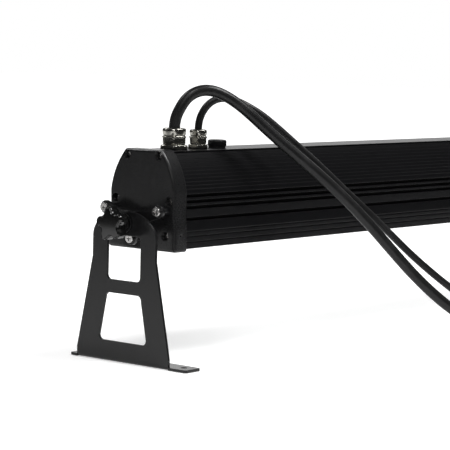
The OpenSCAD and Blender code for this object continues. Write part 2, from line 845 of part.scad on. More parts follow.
// Lenses, emitters and their board, under the web
module at_lenses() {
    for (i = [0:lens_count - 1])
        translate([(i - (lens_count - 1) / 2) * lens_pitch, 0, board_z]) children();
}
module at_board_screws() {
    for (i = [0:board_screw_count - 1])
    for (side = [-1, 1])
        translate([
            (i - (board_screw_count - 1) / 2) * board_screw_pitch,
            side * (board_w / 2 - board_screw_in),
            web_bottom_z
        ]) children();
}
module lenses() {
    color(clear_lens) at_axis() at_lenses() mirror([0, 0, 1]) difference() {
        rotate_extrude($fn = round_fn) polygon([
            [0, 0],
            [lens_throat_r, 0],
            [lens_d / 2 - lens_rim_h, lens_h - lens_rim_h],
            [lens_d / 2, lens_h - lens_rim_h],
            [lens_d / 2, lens_h],
            [lens_dish_r, lens_h],
            [0, lens_h - lens_rim_h]
        ]);
        translate([0, 0, -overrun]) cylinder(h = lens_cup_h + overrun, r = lens_cup_r, $fn = round_fn);
    }
}
module light_board() {
    color(board_white) at_axis() difference() {
        translate([-board_len / 2, -board_w / 2, board_z]) cube([board_len, board_w, board_t]);
        at_board_screws() translate([0, 0, -board_t - overrun])
            cylinder(h = board_t + 2 * overrun, r = board_screw_d / 2 + screw_gap, $fn = round_fn);
    }
}
module light_emitters() {
    color(emitter_yellow) at_axis() at_lenses()
        translate([-emitter_w / 2, -emitter_w / 2, -emitter_h]) cube([emitter_w, emitter_w, emitter_h]);
}
module board_screws() {
    color(bright_steel) at_axis() at_board_screws() {
        translate([0, 0, -board_t - board_head_h])
            cylinder(h = board_head_h, r = board_head_r, $fn = round_fn);
        translate([0, 0, -board_t - board_head_h / 2])
            cylinder(
                h = board_t + board_head_h / 2 + board_screw_depth - thread_gap,
                r = board_screw_d / 2,
                $fn = round_fn
            );
    }
}

// The driver and the control board, on the web
module driver_module() {
    color(driver_grey) at_axis() translate([driver_x, 0, web_top_z]) {
        translate([-driver_len / 2, 0, 0]) rotate([90, 0, 90]) linear_extrude(driver_len)
            polygon(both_sides([
                [driver_w / 2, 0],
                [driver_w / 2, driver_h - driver_edge],
                [driver_w / 2 - driver_edge, driver_h]
            ]));
        for (end = [-1, 1])
            translate([end * (driver_len + driver_tab) / 2, 0, driver_tab_t / 2])
                cube([driver_tab, driver_w, driver_tab_t], center = true);
    }
}
module at_standoffs() {
    for (x = [-1, 1])
    for (y = [-1, 1])
        translate([
            control_x + x * (control_len / 2 - standoff_in),
            y * (control_w / 2 - standoff_in),
            web_top_z
        ]) children();
}
module board_standoffs() {
    color(brass_metal) at_axis() at_standoffs() cylinder(h = standoff_h, r = standoff_r, $fn = 6);
}
module control_board() {
    color(board_green) at_axis()
        translate([control_x - control_len / 2, -control_w / 2, web_top_z + standoff_h])
        cube([control_len, control_w, control_t]);
}
module terminal_block() {
    way = terminal_len / terminal_ways;
    color(black_plastic) at_axis()
        translate([control_x - control_len / 3, -terminal_len / 2, web_top_z + standoff_h + control_t])
        difference() {
            cube([terminal_w, terminal_len, terminal_h]);
            for (i = [0:terminal_ways - 1])
                translate([terminal_w / 2, (i + 1 / 2) * way, terminal_h / 2])
                    cylinder(h = terminal_h, d = terminal_slot, $fn = round_fn);
        }
}

// A cable gland: washer, hexagonal base, domed nut, inner seal and locknut
module gland_washer(base_af, thread_d) {
    color(black_rubber) ring_z(0, washer_t, base_af / 2, thread_d / 2 + soft_gap);
}
module hexagon(z, height, af) {
    translate([0, 0, z]) rotate([0, 0, gland_turn]) cylinder(h = height, d = af / cos(30), $fn = 6);
}
// A hexagon whose top corners are turned off by a cone
module turned_hexagon(z, height, af) {
    corner_r = af / 2 / cos(30);
    drop = (corner_r - af / 2) * tan(30);
    intersection() {
        hexagon(z, height, af);
        rotate_extrude($fn = round_fn) polygon([
            [0, z],
            [corner_r + drop, z],
            [corner_r + drop, z + height - drop],
            [corner_r, z + height - drop],
            [af / 2, z + height],
            [0, z + height]
        ]);
    }
}
module gland_body(base_af, thread_d, cable_d) {
    base_top = washer_t + gland_base_h;
    color(nickel) difference() {
        union() {
            turned_hexagon(washer_t, gland_base_h, base_af);
            translate([0, 0, -gland_below])
                cylinder(h = gland_below + washer_t + overrun, d = thread_d, $fn = round_fn);
            translate([0, 0, base_top - overrun])
                cylinder(h = gland_neck_h + overrun, d = thread_d + neck_in, $fn = round_fn);
            translate([0, 0, base_top])
                cylinder(h = gland_neck_h + neck_up, d = thread_d - 2 * neck_play, $fn = round_fn);
        }
        translate([0, 0, -gland_below - overrun])
            cylinder(h = mains_gland_h + gland_below, r = cable_d / 2 + soft_gap, $fn = round_fn);
    }
}
module gland_nut(nut_af, thread_d, cable_d, height) {
    nut_z = washer_t + gland_base_h + gland_neck_h;
    rim_z = nut_z + (height - nut_z) * nut_rim_share - gland_rim_h;
    dome_z = rim_z + gland_rim_h;
    dome_r = nut_af / 2 / cos(30);
    arc = 4;
    color(nickel) difference() {
        union() {
            hexagon(nut_z, rim_z - nut_z + overrun, nut_af);
            turned_hexagon(rim_z, gland_rim_h, nut_af + 2 * gland_rim_out);
            intersection() {
                hexagon(rim_z, height - rim_z, nut_af);
                rotate_extrude($fn = round_fn) polygon(concat(
                    [[0, rim_z], [dome_r, rim_z]],
                    [
                        for (i = [0:arc])
                        let (a = 90 * i / arc)
                        [
                            dome_r - gland_dome_r * (1 - cos(a)),
                            height - gland_dome_r * (1 - sin(a))
                        ]
                    ],
                    [[0, height]]
                ));
            }
        }
        translate([0, 0, dome_z]) difference() {
            cylinder(h = gland_groove, d = 2 * nut_af, $fn = round_fn);
            translate([0, 0, -overrun])
                cylinder(h = gland_groove + 2 * overrun, d = nut_af - gland_groove, $fn = round_fn);
        }
        translate([0, 0, nut_z - overrun])
            cylinder(h = neck_up + overrun, d = thread_d, $fn = round_fn);
        translate([0, 0, nut_z])
            cylinder(h = height - nut_z - seal_in, r = cable_d / 2 + gland_wall, $fn = round_fn);
        translate([0, 0, nut_z]) cylinder(h = height, r = cable_d / 2 + mouth_gap, $fn = round_fn);
    }
}
module gland_seal(cable_d, height) {
    seal_z = height - seal_in - seal_h;
    outer_r = cable_d / 2 + gland_wall - soft_gap;
    color(black_rubber) ring_z(seal_z, seal_h, outer_r, cable_d / 2 + soft_gap);
}
module locknut(thread_d) {
    color(nickel) difference() {
        hexagon(-roof_t - locknut_t, locknut_t, thread_d + locknut_over);
        translate([0, 0, -gland_below - overrun])
            cylinder(h = gland_below + overrun, r = thread_d / 2 + thread_gap, $fn = round_fn);
    }
}
module on_mains_gland() {
    translate([mains_gland_x, 0, bar_top]) children();
}
module on_data_gland() {
    translate([data_gland_x, 0, bar_top]) children();
}

// The vent plug that evens the pressure inside, and its seal
module vent_plug() {
    color(black_plastic) translate([vent_x, 0, bar_top]) {
        rotate_extrude($fn = round_fn) polygon([
            [0, vent_seal_t],
            [vent_d / 2, vent_seal_t],
            [vent_d / 2, vent_h - vent_edge],
            [vent_d / 2 - vent_edge, vent_h],
            [0, vent_h]
        ]);
        translate([0, 0, -roof_t - vent_seal_t])
            cylinder(h = roof_t + 2 * vent_seal_t + overrun, d = vent_thread_d, $fn = round_fn);
    }
}
module vent_seal() {
    color(black_rubber) translate([vent_x, 0, bar_top])
        ring_z(0, vent_seal_t, vent_d / 2 - vent_edge, vent_thread_d / 2 + soft_gap);
}

// The pivot plate: three arms with hollow edges between them, and a hub
function dip_r(half, dip) = (half * half + dip * dip - arm_r * arm_r) / (2 * (arm_r - dip));
function dip_c(a, b, dip) =
    let (
        half = norm(b - a) / 2,
        run = (b - a) / norm(b - a)
    )
    (a + b) / 2 + (dip + dip_r(half, dip)) * [run.y, -run.x];
function touch(arm, centre) = arm + arm_r * (centre - arm) / norm(centre - arm);
module pivot_plate_outline() {
    dips = [side_dip, side_dip, top_dip];
    count = len(arms);
    centres = [for (i = [0:count - 1]) dip_c(arms[i], arms[(i + 1) % count], dips[i])];
    difference() {
        polygon([
            for (i = [0:count - 1])
            each [touch(arms[i], centres[i]), touch(arms[(i + 1) % count], centres[i])]
        ]);
        for (i = [0:count - 1])
            translate(centres[i])
                circle(r = dip_r(norm(arms[(i + 1) % count] - arms[i]) / 2, dips[i]), $fn = round_fn);
    }
    for (arm = arms)
        translate(arm) circle(r = arm_r + arc_lap, $fn = round_fn);
}
module pivot_plate() {
    color(black_sheet) difference() {
        union() {
            along_x(plate_x, plate_t) pivot_plate_outline();
            rod_x(plate_x - hub_len, hub_len + plate_t / 2, hub_d / 2);
        }
        rod_x(plate_x - hub_len - overrun, hub_len + plate_t + 2 * overrun, stud_d / 2 + thread_gap);
        for (arm = arms)
            translate([0, arm.x, arm.y])
                rod_x(plate_x - overrun, plate_t + 2 * overrun, plate_screw_d / 2 + screw_gap);
    }
}
module pivot_spacers() {
    color(bright_steel)
        for (arm = arms)
            translate([0, arm.x, arm.y])
                ring_x(-spacer_len, spacer_len, spacer_d / 2, plate_screw_d / 2 + screw_gap);
}
module pivot_screws() {
    slot_w = plate_screw_d / 5;
    color(bright_steel)
        for (arm = arms)
            translate([0, arm.x, arm.y]) difference() {
                union() {
                    rod_x(plate_x - plate_head_h, plate_head_h, plate_head_d / 2);
                    rod_x(plate_x - overrun, plate_t + spacer_len + plate_screw_depth, plate_screw_d / 2);
                }
                translate([plate_x - plate_head_h, 0, 0]) {
                    cube([plate_head_h, slot_w, plate_screw_d], center = true);
                    cube([plate_head_h, plate_screw_d, slot_w], center = true);
                }
            }
}
module pivot_stud() {
    color(bright_steel) {
        rod_x(stud_end_x, -spacer_len - stud_end_x, stud_d / 2);
        rod_x(-spacer_len, stud_head_t, stud_head_d / 2);
    }
}
module friction_washer() {
    color(black_rubber)
        ring_x(plate_x - hub_len - friction_t, friction_t, hub_d / 2, stud_d / 2 + soft_gap);
}

// A stand: bent sheet with an arched top, two windows and a drilled foot
module window(bottom_z, height, bottom_w, top_width) {
    r = window_r;
    lean = (bottom_w - top_width) / 2 / height;
    a = atan(lean);
    low = [bottom_w / 2 - lean * r - r / cos(a), bottom_z + r];
    high = [top_width / 2 + lean * r - r / cos(a), bottom_z + height - r];
    out = r * [cos(a), sin(a)];
    polygon(both_sides([low - [0, r], low + out, high + out, high + [0, r]]));
    for (side = [-1, 1])
    for (corner = [low, high])
        translate([side * corner.x, corner.y]) circle(r = r + arc_lap, $fn = round_fn);
}
module stand_outline() {
    arch_points = 24;
    arch_rise = arch_above + arch_spring;
    floor_z = -pivot_h;
    polygon(both_sides(concat(
        [
            [half_foot_w, floor_z + bend_r],
            [half_foot_w, floor_z + flare_end_h],
            [half_stand, floor_z + flare_h]
        ],
        [
            for (i = [0:arch_points - 1])
            let (a = 90 * i / arch_points)
            [half_stand * cos(a), -arch_spring + arch_rise * sin(a)]
        ]
    )));
}
module foot_outline() {
    r = foot_corner_r;
    length = foot_short + foot_long;
    translate([stand_x, -foot_long]) {
        translate([r, 0]) square([foot_d - 2 * r, length]);
        translate([0, r]) square([foot_d, length - 2 * r]);
        for (x = [r, foot_d - r])
        for (y = [r, length - r])
            translate([x, y]) circle(r = r, $fn = round_fn);
    }
}
module stand() {
    color(black_sheet) difference() {
        union() {
            difference() {
                along_x(stand_x, sheet_t) stand_outline();
                along_x(stand_x - overrun, sheet_t + 2 * overrun) {
                    window(-pivot_h + window_sill_h, pivot_h - window_sill_h - window_drop,
                        window_w, window_w);
                    window(-pivot_h + low_sill_h, low_window_h, low_bottom_w, low_top_w);
                }
            }
            translate([stand_x + bend_r, half_foot_w, -pivot_h + bend_r]) rotate([90, 0, 0])
                linear_extrude(stand_foot_w) difference() {
                    intersection() {
                        circle(r = bend_r, $fn = round_fn);
                        translate([-bend_r, -bend_r]) square(bend_r);
                    }
                    circle(r = bend_r - sheet_t, $fn = round_fn);
                }
            translate([0, 0, -pivot_h]) difference() {
                linear_extrude(sheet_t) foot_outline();
                translate([stand_x - overrun, -half_foot_w, -overrun])
                    cube([bend_r + overrun, stand_foot_w, sheet_t + 2 * overrun]);
            }
        }
        rod_x(stand_x - overrun, sheet_t + 2 * overrun, stud_d / 2 + turn_gap);
        for (y = [foot_short - foot_hole_in, -foot_long + foot_hole_in])
            translate([foot_hole_x, y, -pivot_h - overrun])
                cylinder(h = sheet_t + 2 * overrun, d = foot_hole_d, $fn = round_fn);
    }
}

// A lobed clamp knob with a brass insert, on a steel washer
function knob_dir(a) = [sin(a), cos(a)];
module knob_outline(inset) {
    step = 180 / knob_lobes;
    chord = lobe_at * sin(step);
    back = valley_share * lobe_at - lobe_at * cos(step);
    valley_r = (back * back + chord * chord - lobe_r * lobe_r) / (2 * (lobe_r - back));
    valley_at = valley_share * lobe_at + valley_r;
    lobes = [for (i = [0:knob_lobes - 1]) lobe_at * knob_dir(2 * step * i)];
    valleys = [for (i = [0:knob_lobes - 1]) valley_at * knob_dir(2 * step * (i + 1 / 2))];
    difference() {
        polygon([
            for (i = [0:knob_lobes - 1])
            let (next = lobes[(i + 1) % knob_lobes])
            each [
                lobes[i] + (lobe_r - inset) * unit(valleys[i] - lobes[i]),
                next + (lobe_r - inset) * unit(valleys[i] - next)
            ]
        ]);
        for (valley = valleys)
            translate(valley) circle(r = valley_r + inset, $fn = round_fn);
    }
    for (lobe = lobes)
        translate(lobe) circle(r = lobe_r - inset, $fn = round_fn);
}
module knob() {
    head_x = knob_back_x - knob_hub_len;
    color(black_plastic) rotate([knob_turn, 0, 0]) difference() {
        union() {
            along_x(knob_face_x + knob_edge_r, knob_head_len - 2 * knob_edge_r) knob_outline(0);
            along_x(knob_face_x + knob_edge_r / 4, knob_head_len - knob_edge_r / 2)
                knob_outline(knob_edge_r / 3);
            along_x(knob_face_x, knob_head_len) knob_outline(knob_edge_r);
            translate([head_x, 0, 0]) rotate([0, 90, 0])
                cylinder(h = knob_hub_len, d1 = knob_hub_d + hub_flare, d2 = knob_hub_d, $fn = round_fn);
        }
        rod_x(knob_back_x - insert_len - knob_bore_gap, insert_len + knob_bore_gap + overrun,
            stud_d / 2 + turn_gap + insert_wall + thread_gap);
    }
}
module knob_insert() {
    bore_r = stud_d / 2 + turn_gap;
    color(brass_metal) ring_x(knob_back_x - insert_len, insert_len, bore_r + insert_wall, bore_r);
}
module knob_washer() {
    bore_r = stud_d / 2 + turn_gap;
    color(bright_steel) ring_x(stand_x - knob_washer_t, knob_washer_t, knob_washer_d / 2, bore_r);
}

// The leads, the stored coil and what is on their ends
module strain_relief(length, wide, narrow) {
    rib = length / (2 * relief_ribs + 2);
    rotate_extrude($fn = round_fn) polygon(concat(
        [[0, 0], [narrow, 0]],
        [
            for (i = [0:relief_ribs - 1])
            let (
                z = (2 * i + 1) * rib,
                r = narrow + (wide - narrow) * (i + 1 / 2) / relief_ribs
            )
            each [[r, z], [r - rib_depth, z], [r - rib_depth, z + rib], [r, z + rib]]
        ],
        [[wide, length], [0, length]]
    ));
}
module mains_lead() {
    color(black_rubber) tube(mains_route, mains_d / 2, tube_sides, lead_side_way);
}
module mains_coil() {
    color(black_rubber) tube(coil_path, mains_d / 2, coil_sides, [0, 0, 1]);
}
module on_plug() {
    translate([plug_x, plug_y, plug_z]) rotate([0, 90, 0]) children();
}
module mains_strain_relief() {
    color(black_rubber) on_plug() strain_relief(relief_len, plug_d / 4, plug_d / 5);
}
module mains_plug() {
    face_cut = 1.5;
    grip = 3;
    color(black_rubber) on_plug() difference() {
        rotate_extrude($fn = round_fn) polygon([
            [0, relief_len],
            [plug_d / 3, relief_len],
            [plug_d / 2 - grip, relief_len + plug_len / 3],
            [plug_d / 2, relief_len + plug_len / 2],
            [plug_d / 2, relief_len + plug_len - face_cut],
            [plug_d / 2 - face_cut, relief_len + plug_len],
            [0, relief_len + plug_len]
        ]);
        for (side = [-1, 1])
            translate([0, side * pin_gap / 2, relief_len + plug_len - pin_len / 2])
                cylinder(h = pin_len, r = pin_d / 2 + thread_gap, $fn = round_fn);
    }
}
module mains_plug_pins() {
    tip = pin_d / 4;
    color(nickel) on_plug() for (side = [-1, 1])
        translate([0, side * pin_gap / 2, relief_len + plug_len - pin_len / 2])
            rotate_extrude($fn = round_fn) polygon([
                [0, 0],
                [pin_d / 2, 0],
                [pin_d / 2, pin_len * 3 / 2 - tip],
                [pin_d / 2 - tip, pin_len * 3 / 2],
                [0, pin_len * 3 / 2]
            ]);
}
module data_lead() {
    color(black_rubber) tube(data_route, data_d / 2, tube_sides, lead_side_way);
}
module on_connector() {
    translate(connector_at) rotate([0, 90, 0]) children();
}
module data_strain_relief() {
    color(black_rubber) on_connector() strain_relief(data_relief_len, connector_d / 3, connector_d / 4);
}
module at_contacts() {
    for (i = [0:contact_count - 1])
        rotate(360 * i / contact_count)
            translate([connector_d / 6, 0, data_relief_len + connector_len - contact_len]) children();
}
module data_connector() {
    body_r = connector_d / 2 - ring_wall;
    color(black_plastic) on_connector() difference() {
        rotate_extrude($fn = round_fn) polygon([
            [0, data_relief_len],
            [body_r, data_relief_len],
            [body_r, data_relief_len + connector_len - face_edge],
            [body_r - face_edge, data_relief_len + connector_len],
            [0, data_relief_len + connector_len]
        ]);
        at_contacts() cylinder(h = contact_len + overrun, d = contact_d, $fn = round_fn);
    }
}
module data_connector_ring() {
    grips = 18;
    ring_z0 = data_relief_len + connector_len / 4;
    color(black_plastic) on_connector() difference() {
        ring_z(ring_z0, connector_len / 2, connector_d / 2, connector_d / 2 - ring_wall + thread_gap);
        for (i = [0:grips - 1])
            rotate(360 * i / grips) translate([connector_d / 2 - rib_depth / 2, 0, ring_z0 + rib_depth])
                translate([0, -rib_depth / 2, 0]) cube([rib_depth, rib_depth, connector_len]);
    }
}
module data_contacts() {
    color(brass_metal) on_connector() at_contacts()
        ring_z(0, contact_len, contact_d / 2, contact_d / 4);
}
module coil_tie() {
    inner_w = mains_d + 2 * tie_gap;
    inner_h = mains_d + coil_rise + 2 * tie_gap;
    mid = coil_point(tie_turn);
    color(black_plastic)
        translate([mid.x - tie_w / 2, mid.y, mid.z - mains_d / 2 - tie_gap])
        rotate([90, 0, 90]) linear_extrude(tie_w) difference() {
            translate([-inner_w / 2 - tie_t, -tie_t]) square([inner_w + 2 * tie_t, inner_h + 2 * tie_t]);
            translate([-inner_w / 2, 0]) square([inner_w, inner_h]);
        }
}

housing_extrusion();
on_left() end_cap();  // end_cap_left
on_right() end_cap();  // end_cap_right
on_left() cap_gasket();  // cap_gasket_left
on_right() cap_gasket();  // cap_gasket_right
on_left() cap_screws();  // cap_screws_left
on_right() cap_screws();  // cap_screws_right
union() {  // cap_grub_screws
    on_left() grub_screws();
    on_right() grub_screws();
}
front_glass();
glass_strips();
lenses();
light_board();
light_emitters();
board_screws();
driver_module();
control_board();
board_standoffs();
terminal_block();
on_mains_gland() gland_body(mains_base_af, mains_thread_d, mains_d);  // mains_gland_body
on_mains_gland() gland_nut(mains_nut_af, mains_thread_d, mains_d, mains_gland_h);  // mains_gland_nut
on_mains_gland() gland_seal(mains_d, mains_gland_h);  // mains_gland_seal
on_mains_gland() gland_washer(mains_base_af, mains_thread_d);  // mains_gland_washer
on_mains_gland() locknut(mains_thread_d);  // mains_locknut
on_data_gland() gland_body(data_base_af, data_thread_d, data_d);  // data_gland_body
on_data_gland() gland_nut(data_nut_af, data_thread_d, data_d, data_gland_h);  // data_gland_nut
on_data_gland() gland_seal(data_d, data_gland_h);  // data_gland_seal
on_data_gland() gland_washer(data_base_af, data_thread_d);  // data_gland_washer
on_data_gland() locknut(data_thread_d);  // data_locknut
vent_plug();
vent_seal();
on_left() pivot_plate();  // pivot_plate_left
on_right() pivot_plate();  // pivot_plate_right
on_left() pivot_spacers();  // pivot_spacers_left
on_right() pivot_spacers();  // pivot_spacers_right
on_left() pivot_screws();  // pivot_screws_left
on_right() pivot_screws();  // pivot_screws_right
on_left() pivot_stud();  // pivot_stud_left
on_right() pivot_stud();  // pivot_stud_right
on_left() friction_washer();  // friction_washer_left
on_right() friction_washer();  // friction_washer_right
on_left() stand();  // stand_left
on_right() stand();  // stand_right
on_left() knob_washer();  // knob_washer_left
on_right() knob_washer();  // knob_washer_right
on_left() knob();  // knob_left
on_right() knob();  // knob_right
on_left() knob_insert();  // knob_insert_left
on_right() knob_insert();  // knob_insert_right
mains_lead();
mains_coil();
coil_tie();
mains_plug();
mains_plug_pins();
mains_strain_relief();
data_lead();
data_connector();
data_connector_ring();
data_contacts();
data_strain_relief();
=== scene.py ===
"""The finished look of the outdoor wall washer: camera, light, leads, surfaces and materials.

Everything is in metres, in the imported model's frame: X runs along the bar, Z is up.
"""
import json
import math

import bmesh
import bpy
import numpy as np
from mathutils import Matrix, Vector
from mathutils.bvhtree import BVHTree


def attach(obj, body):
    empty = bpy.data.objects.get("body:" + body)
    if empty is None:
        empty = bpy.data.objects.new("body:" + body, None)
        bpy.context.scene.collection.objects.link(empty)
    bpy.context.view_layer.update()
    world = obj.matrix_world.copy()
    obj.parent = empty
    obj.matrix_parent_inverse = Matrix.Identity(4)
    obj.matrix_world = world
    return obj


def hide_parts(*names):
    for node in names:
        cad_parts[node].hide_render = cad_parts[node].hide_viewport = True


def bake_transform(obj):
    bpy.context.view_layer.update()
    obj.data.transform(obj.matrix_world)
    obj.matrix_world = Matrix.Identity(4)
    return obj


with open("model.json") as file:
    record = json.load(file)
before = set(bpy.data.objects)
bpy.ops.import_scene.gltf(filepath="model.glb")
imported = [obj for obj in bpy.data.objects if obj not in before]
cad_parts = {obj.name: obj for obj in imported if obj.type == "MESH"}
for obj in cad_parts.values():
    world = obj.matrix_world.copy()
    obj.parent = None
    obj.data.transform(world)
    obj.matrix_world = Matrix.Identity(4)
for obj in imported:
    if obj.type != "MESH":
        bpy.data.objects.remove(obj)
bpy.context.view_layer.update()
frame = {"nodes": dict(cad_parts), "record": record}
nodes = frame["nodes"]
body_of = {node: body for body, group in frame["record"]["behaviour"]["bodies"].items()
           for node in group}
slot_of = {part["node"]: part["material_slot"] for part in frame["record"]["subparts"]}
for end in ("left", "right"):  # these small pieces are dark in the photograph
    slot_of["knob_washer_" + end] = slot_of["pivot_spacers_" + end] = "black_screw"
scene = bpy.context.scene
MM = 0.001


def linked(name, data):
    """A new object for this data, linked to the scene."""
    made = bpy.data.objects.new(name, data)
    scene.collection.objects.link(made)
    return made


# ---------------------------------------------------------------- camera

SENSOR_WIDTH = 36.0
NEAREST = 0.05


def look_from(place, azimuth, elevation, roll, lens):
    """Adds the photograph's camera. Angles are in degrees, elevation is how far it looks down."""
    azimuth, elevation, roll = (math.radians(angle) for angle in (azimuth, elevation, roll))
    forward = Vector((-math.sin(azimuth) * math.cos(elevation),
                      math.cos(azimuth) * math.cos(elevation),
                      -math.sin(elevation)))
    level = Vector((math.cos(azimuth), math.sin(azimuth), 0))
    upright = level.cross(forward)
    right = level * math.cos(roll) + upright * math.sin(roll)
    up = upright * math.cos(roll) - level * math.sin(roll)
    turn = Matrix((right, up, -forward)).transposed().to_4x4()
    data = bpy.data.cameras.new("camera")
    data.lens = lens
    data.sensor_width = SENSOR_WIDTH
    data.clip_start = NEAREST
    scene.camera = linked("camera", data)
    scene.camera.matrix_world = Matrix.Translation(place) @ turn


look_from((-1.9903, -1.3273, 0.329), azimuth=-50.8, elevation=5.31, roll=1.48, lens=154.88)


# ---------------------------------------------------------------- shader nodes

class Wire:
    """An output socket that takes part in sums, so that shader maths reads as maths."""

    def __init__(self, wiring, socket):
        self.wiring = wiring
        self.socket = socket

    def maths(self, operation, *values):
        return self.wiring.node("ShaderNodeMath", *values, operation=operation)

    def __add__(self, other):
        return self.maths("ADD", self, other)

    def __radd__(self, other):
        return self.maths("ADD", other, self)

    def __sub__(self, other):
        return self.maths("SUBTRACT", self, other)

    def __rsub__(self, other):
        return self.maths("SUBTRACT", other, self)

    def __mul__(self, other):
        return self.maths("MULTIPLY", self, other)

    def __rmul__(self, other):
        return self.maths("MULTIPLY", other, self)

    def absolute(self):
        return self.maths("ABSOLUTE", self)

    def at_most(self, limit):
        return self.maths("MINIMUM", self, limit)

    def between(self, low, high):
        """0 below low, 1 above high and a smooth step in between."""
        return self.wiring.node("ShaderNodeMapRange", self, low, high, 0.0, 1.0,
                                interpolation_type="SMOOTHSTEP", clamp=True)

    def spread(self, low, high):
        """The wire's 0 to 1, mapped to low to high."""
        return self * (high - low) + low


class Wiring:
    """A node tree with one way of adding nodes to it."""

    def __init__(self, tree):
        self.tree = tree

    def node(self, kind, *values, out=0, **settings):
        """Adds one node and gives the wire of its output, or one for each name in a tuple.

        Values fill its inputs in order. A dict as the last of them fills inputs by name or number.
        """
        made = self.tree.nodes.new(kind)
        for name, value in settings.items():
            setattr(made, name, value)
        named = {}
        if values and isinstance(values[-1], dict):
            *values, named = values
        for place, value in [*enumerate(values), *named.items()]:
            self.put(made.inputs[place], value)
        if isinstance(out, tuple):
            return [Wire(self, made.outputs[name]) for name in out]
        return Wire(self, made.outputs[out])

    def put(self, socket, value):
        if isinstance(value, Wire):
            self.tree.links.new(value.socket, socket)
        else:
            socket.default_value = value

    def mix(self, share, first, second):
        """A colour between two, by a wire from 0 to 1. Inputs 6 and 7 take the colours."""
        return self.node("ShaderNodeMix", {0: share, 6: (*first, 1.0), 7: (*second, 1.0)},
                         data_type="RGBA", out=2)

    def ray_kinds(self):
        """1 for rays from the camera, through glass or not, and 1 for those off a mirror."""
        camera, glossy, passed = self.node("ShaderNodeLightPath", out=(
            "Is Camera Ray", "Is Glossy Ray", "Is Transmission Ray"))
        return (camera + passed).at_most(1.0), glossy


class Look(Wiring):
    """A material whose Principled shader is fed by a few procedural wires."""

    def __init__(self, name, colour, roughness, metallic=0.0, **constants):
        self.material = bpy.data.materials.new(name)
        self.material.use_nodes = True
        super().__init__(self.material.node_tree)
        self.shader = next(n for n in self.tree.nodes if n.type == "BSDF_PRINCIPLED")
        self.shader.inputs["Base Color"].default_value = (*colour, 1.0)
        self.shader.inputs["Roughness"].default_value = roughness
        self.shader.inputs["Metallic"].default_value = metallic
        for socket, value in constants.items():
            self.shader.inputs[socket.replace("_", " ")].default_value = value

    def place(self, stretch=(1, 1, 1)):
        """Object coordinates in metres, stretched."""
        coords = self.node("ShaderNodeTexCoord", out="Object")
        return self.node("ShaderNodeMapping", coords, {"Scale": stretch})

    def noise(self, scale, detail=4.0, roughness=0.5, stretch=(1, 1, 1), distortion=0.0):
        return self.node("ShaderNodeTexNoise", {
            "Vector": self.place(stretch), "Scale": scale, "Detail": detail,
            "Roughness": roughness, "Distortion": distortion})

    def cells(self, scale):
        return self.node("ShaderNodeTexVoronoi", {"Vector": self.place(), "Scale": scale})

    def groove(self, bottom, top, half_width, edge=0.0005, lip=0.0012):
        """1 on the floors of grooves between two heights, nearer the middle than half_width."""
        across, height = self.node("ShaderNodeSeparateXYZ", self.place(), out=("Y", "Z"))
        deep = 1 - across.absolute().between(half_width - lip, half_width)
        return deep * height.between(bottom, bottom + edge) * (1 - height.between(top, top + edge))

    def feed(self, socket, wire):
        self.put(self.shader.inputs[socket], wire)

    def bump(self, height, depth):
        """Raises the surface by height (0 to 1) times depth in metres."""
        self.feed("Normal", self.node("ShaderNodeBump", {
            "Height": height, "Distance": depth, "Strength": 1.0}))


def shade(colour, share):
    return tuple(c * share for c in colour)


# ---------------------------------------------------------------- finishes

FINS_FROM = 0.1384    # the bar's flanks: heights between which their grooves lie,
FINS_TO = 0.1778
GROOVE_HALF = 0.0424  # and half the bar's width at the floors of these


def powder_coat(name, colour, roughness, grain=1400.0, peel=0.00003, **constants):
    """Baked paint: an even colour with a fine orange peel and slight cloudiness."""
    look = Look(name, colour, roughness, **constants)
    peel_height = look.noise(grain, detail=2.0, roughness=0.6)
    cloud = look.noise(18.0, detail=3.0)
    speck = look.cells(2600.0).between(0.0, 0.35)
    tone = cloud * 0.7 + speck * 0.3
    look.feed("Base Color", look.mix(tone, shade(colour, 0.82), shade(colour, 1.22)))
    uneven = cloud * 0.5 + peel_height * 0.5
    look.feed("Roughness", uneven.spread(roughness - 0.06, roughness + 0.06))
    look.bump(peel_height, peel)
    return look.material


def anodised(name, colour, roughness, **constants):
    """Extruded aluminium: die lines run along X and the anodising clouds a little; the floors of
    the flanks' grooves get painted shade and more roughness.
    """
    look = Look(name, colour, roughness, **constants)
    lines = look.noise(1.0, detail=4.0, roughness=0.7, stretch=(0.03, 1400.0, 1400.0))
    broad = look.noise(1.0, detail=2.0, stretch=(0.02, 110.0, 110.0))
    cloud = look.noise(9.0, detail=2.0)
    groove = look.groove(FINS_FROM, FINS_TO, GROOVE_HALF)
    # painted shade: the groove floors take the darkest tone of the colour, as if shaded
    tone = (lines * 0.4 + broad * 0.3 + cloud * 0.3) * (1 - groove)
    look.feed("Base Color", look.mix(tone, shade(colour, 0.75), shade(colour, 1.35)))
    satin = (lines * 0.6 + broad * 0.4).spread(roughness - 0.08, roughness + 0.1)
    look.feed("Roughness", satin + groove * 0.5)
    look.bump(lines, 0.000003)
    return look.material


def metal(name, colour, roughness, grain=700.0, marks=0.00001):
    """Plated or bright metal with fine tool marks and faint stains."""
    look = Look(name, colour, roughness, metallic=1.0)
    fine = look.noise(grain, detail=3.0, roughness=0.65)
    stain = look.noise(70.0, detail=3.0, distortion=0.6)
    look.feed("Base Color", look.mix(stain, shade(colour, 0.85), shade(colour, 1.12)))
    uneven = fine * 0.5 + stain * 0.5
    look.feed("Roughness", uneven.spread(roughness * 0.8, roughness * 1.25))
    look.bump(fine, marks)
    return look.material


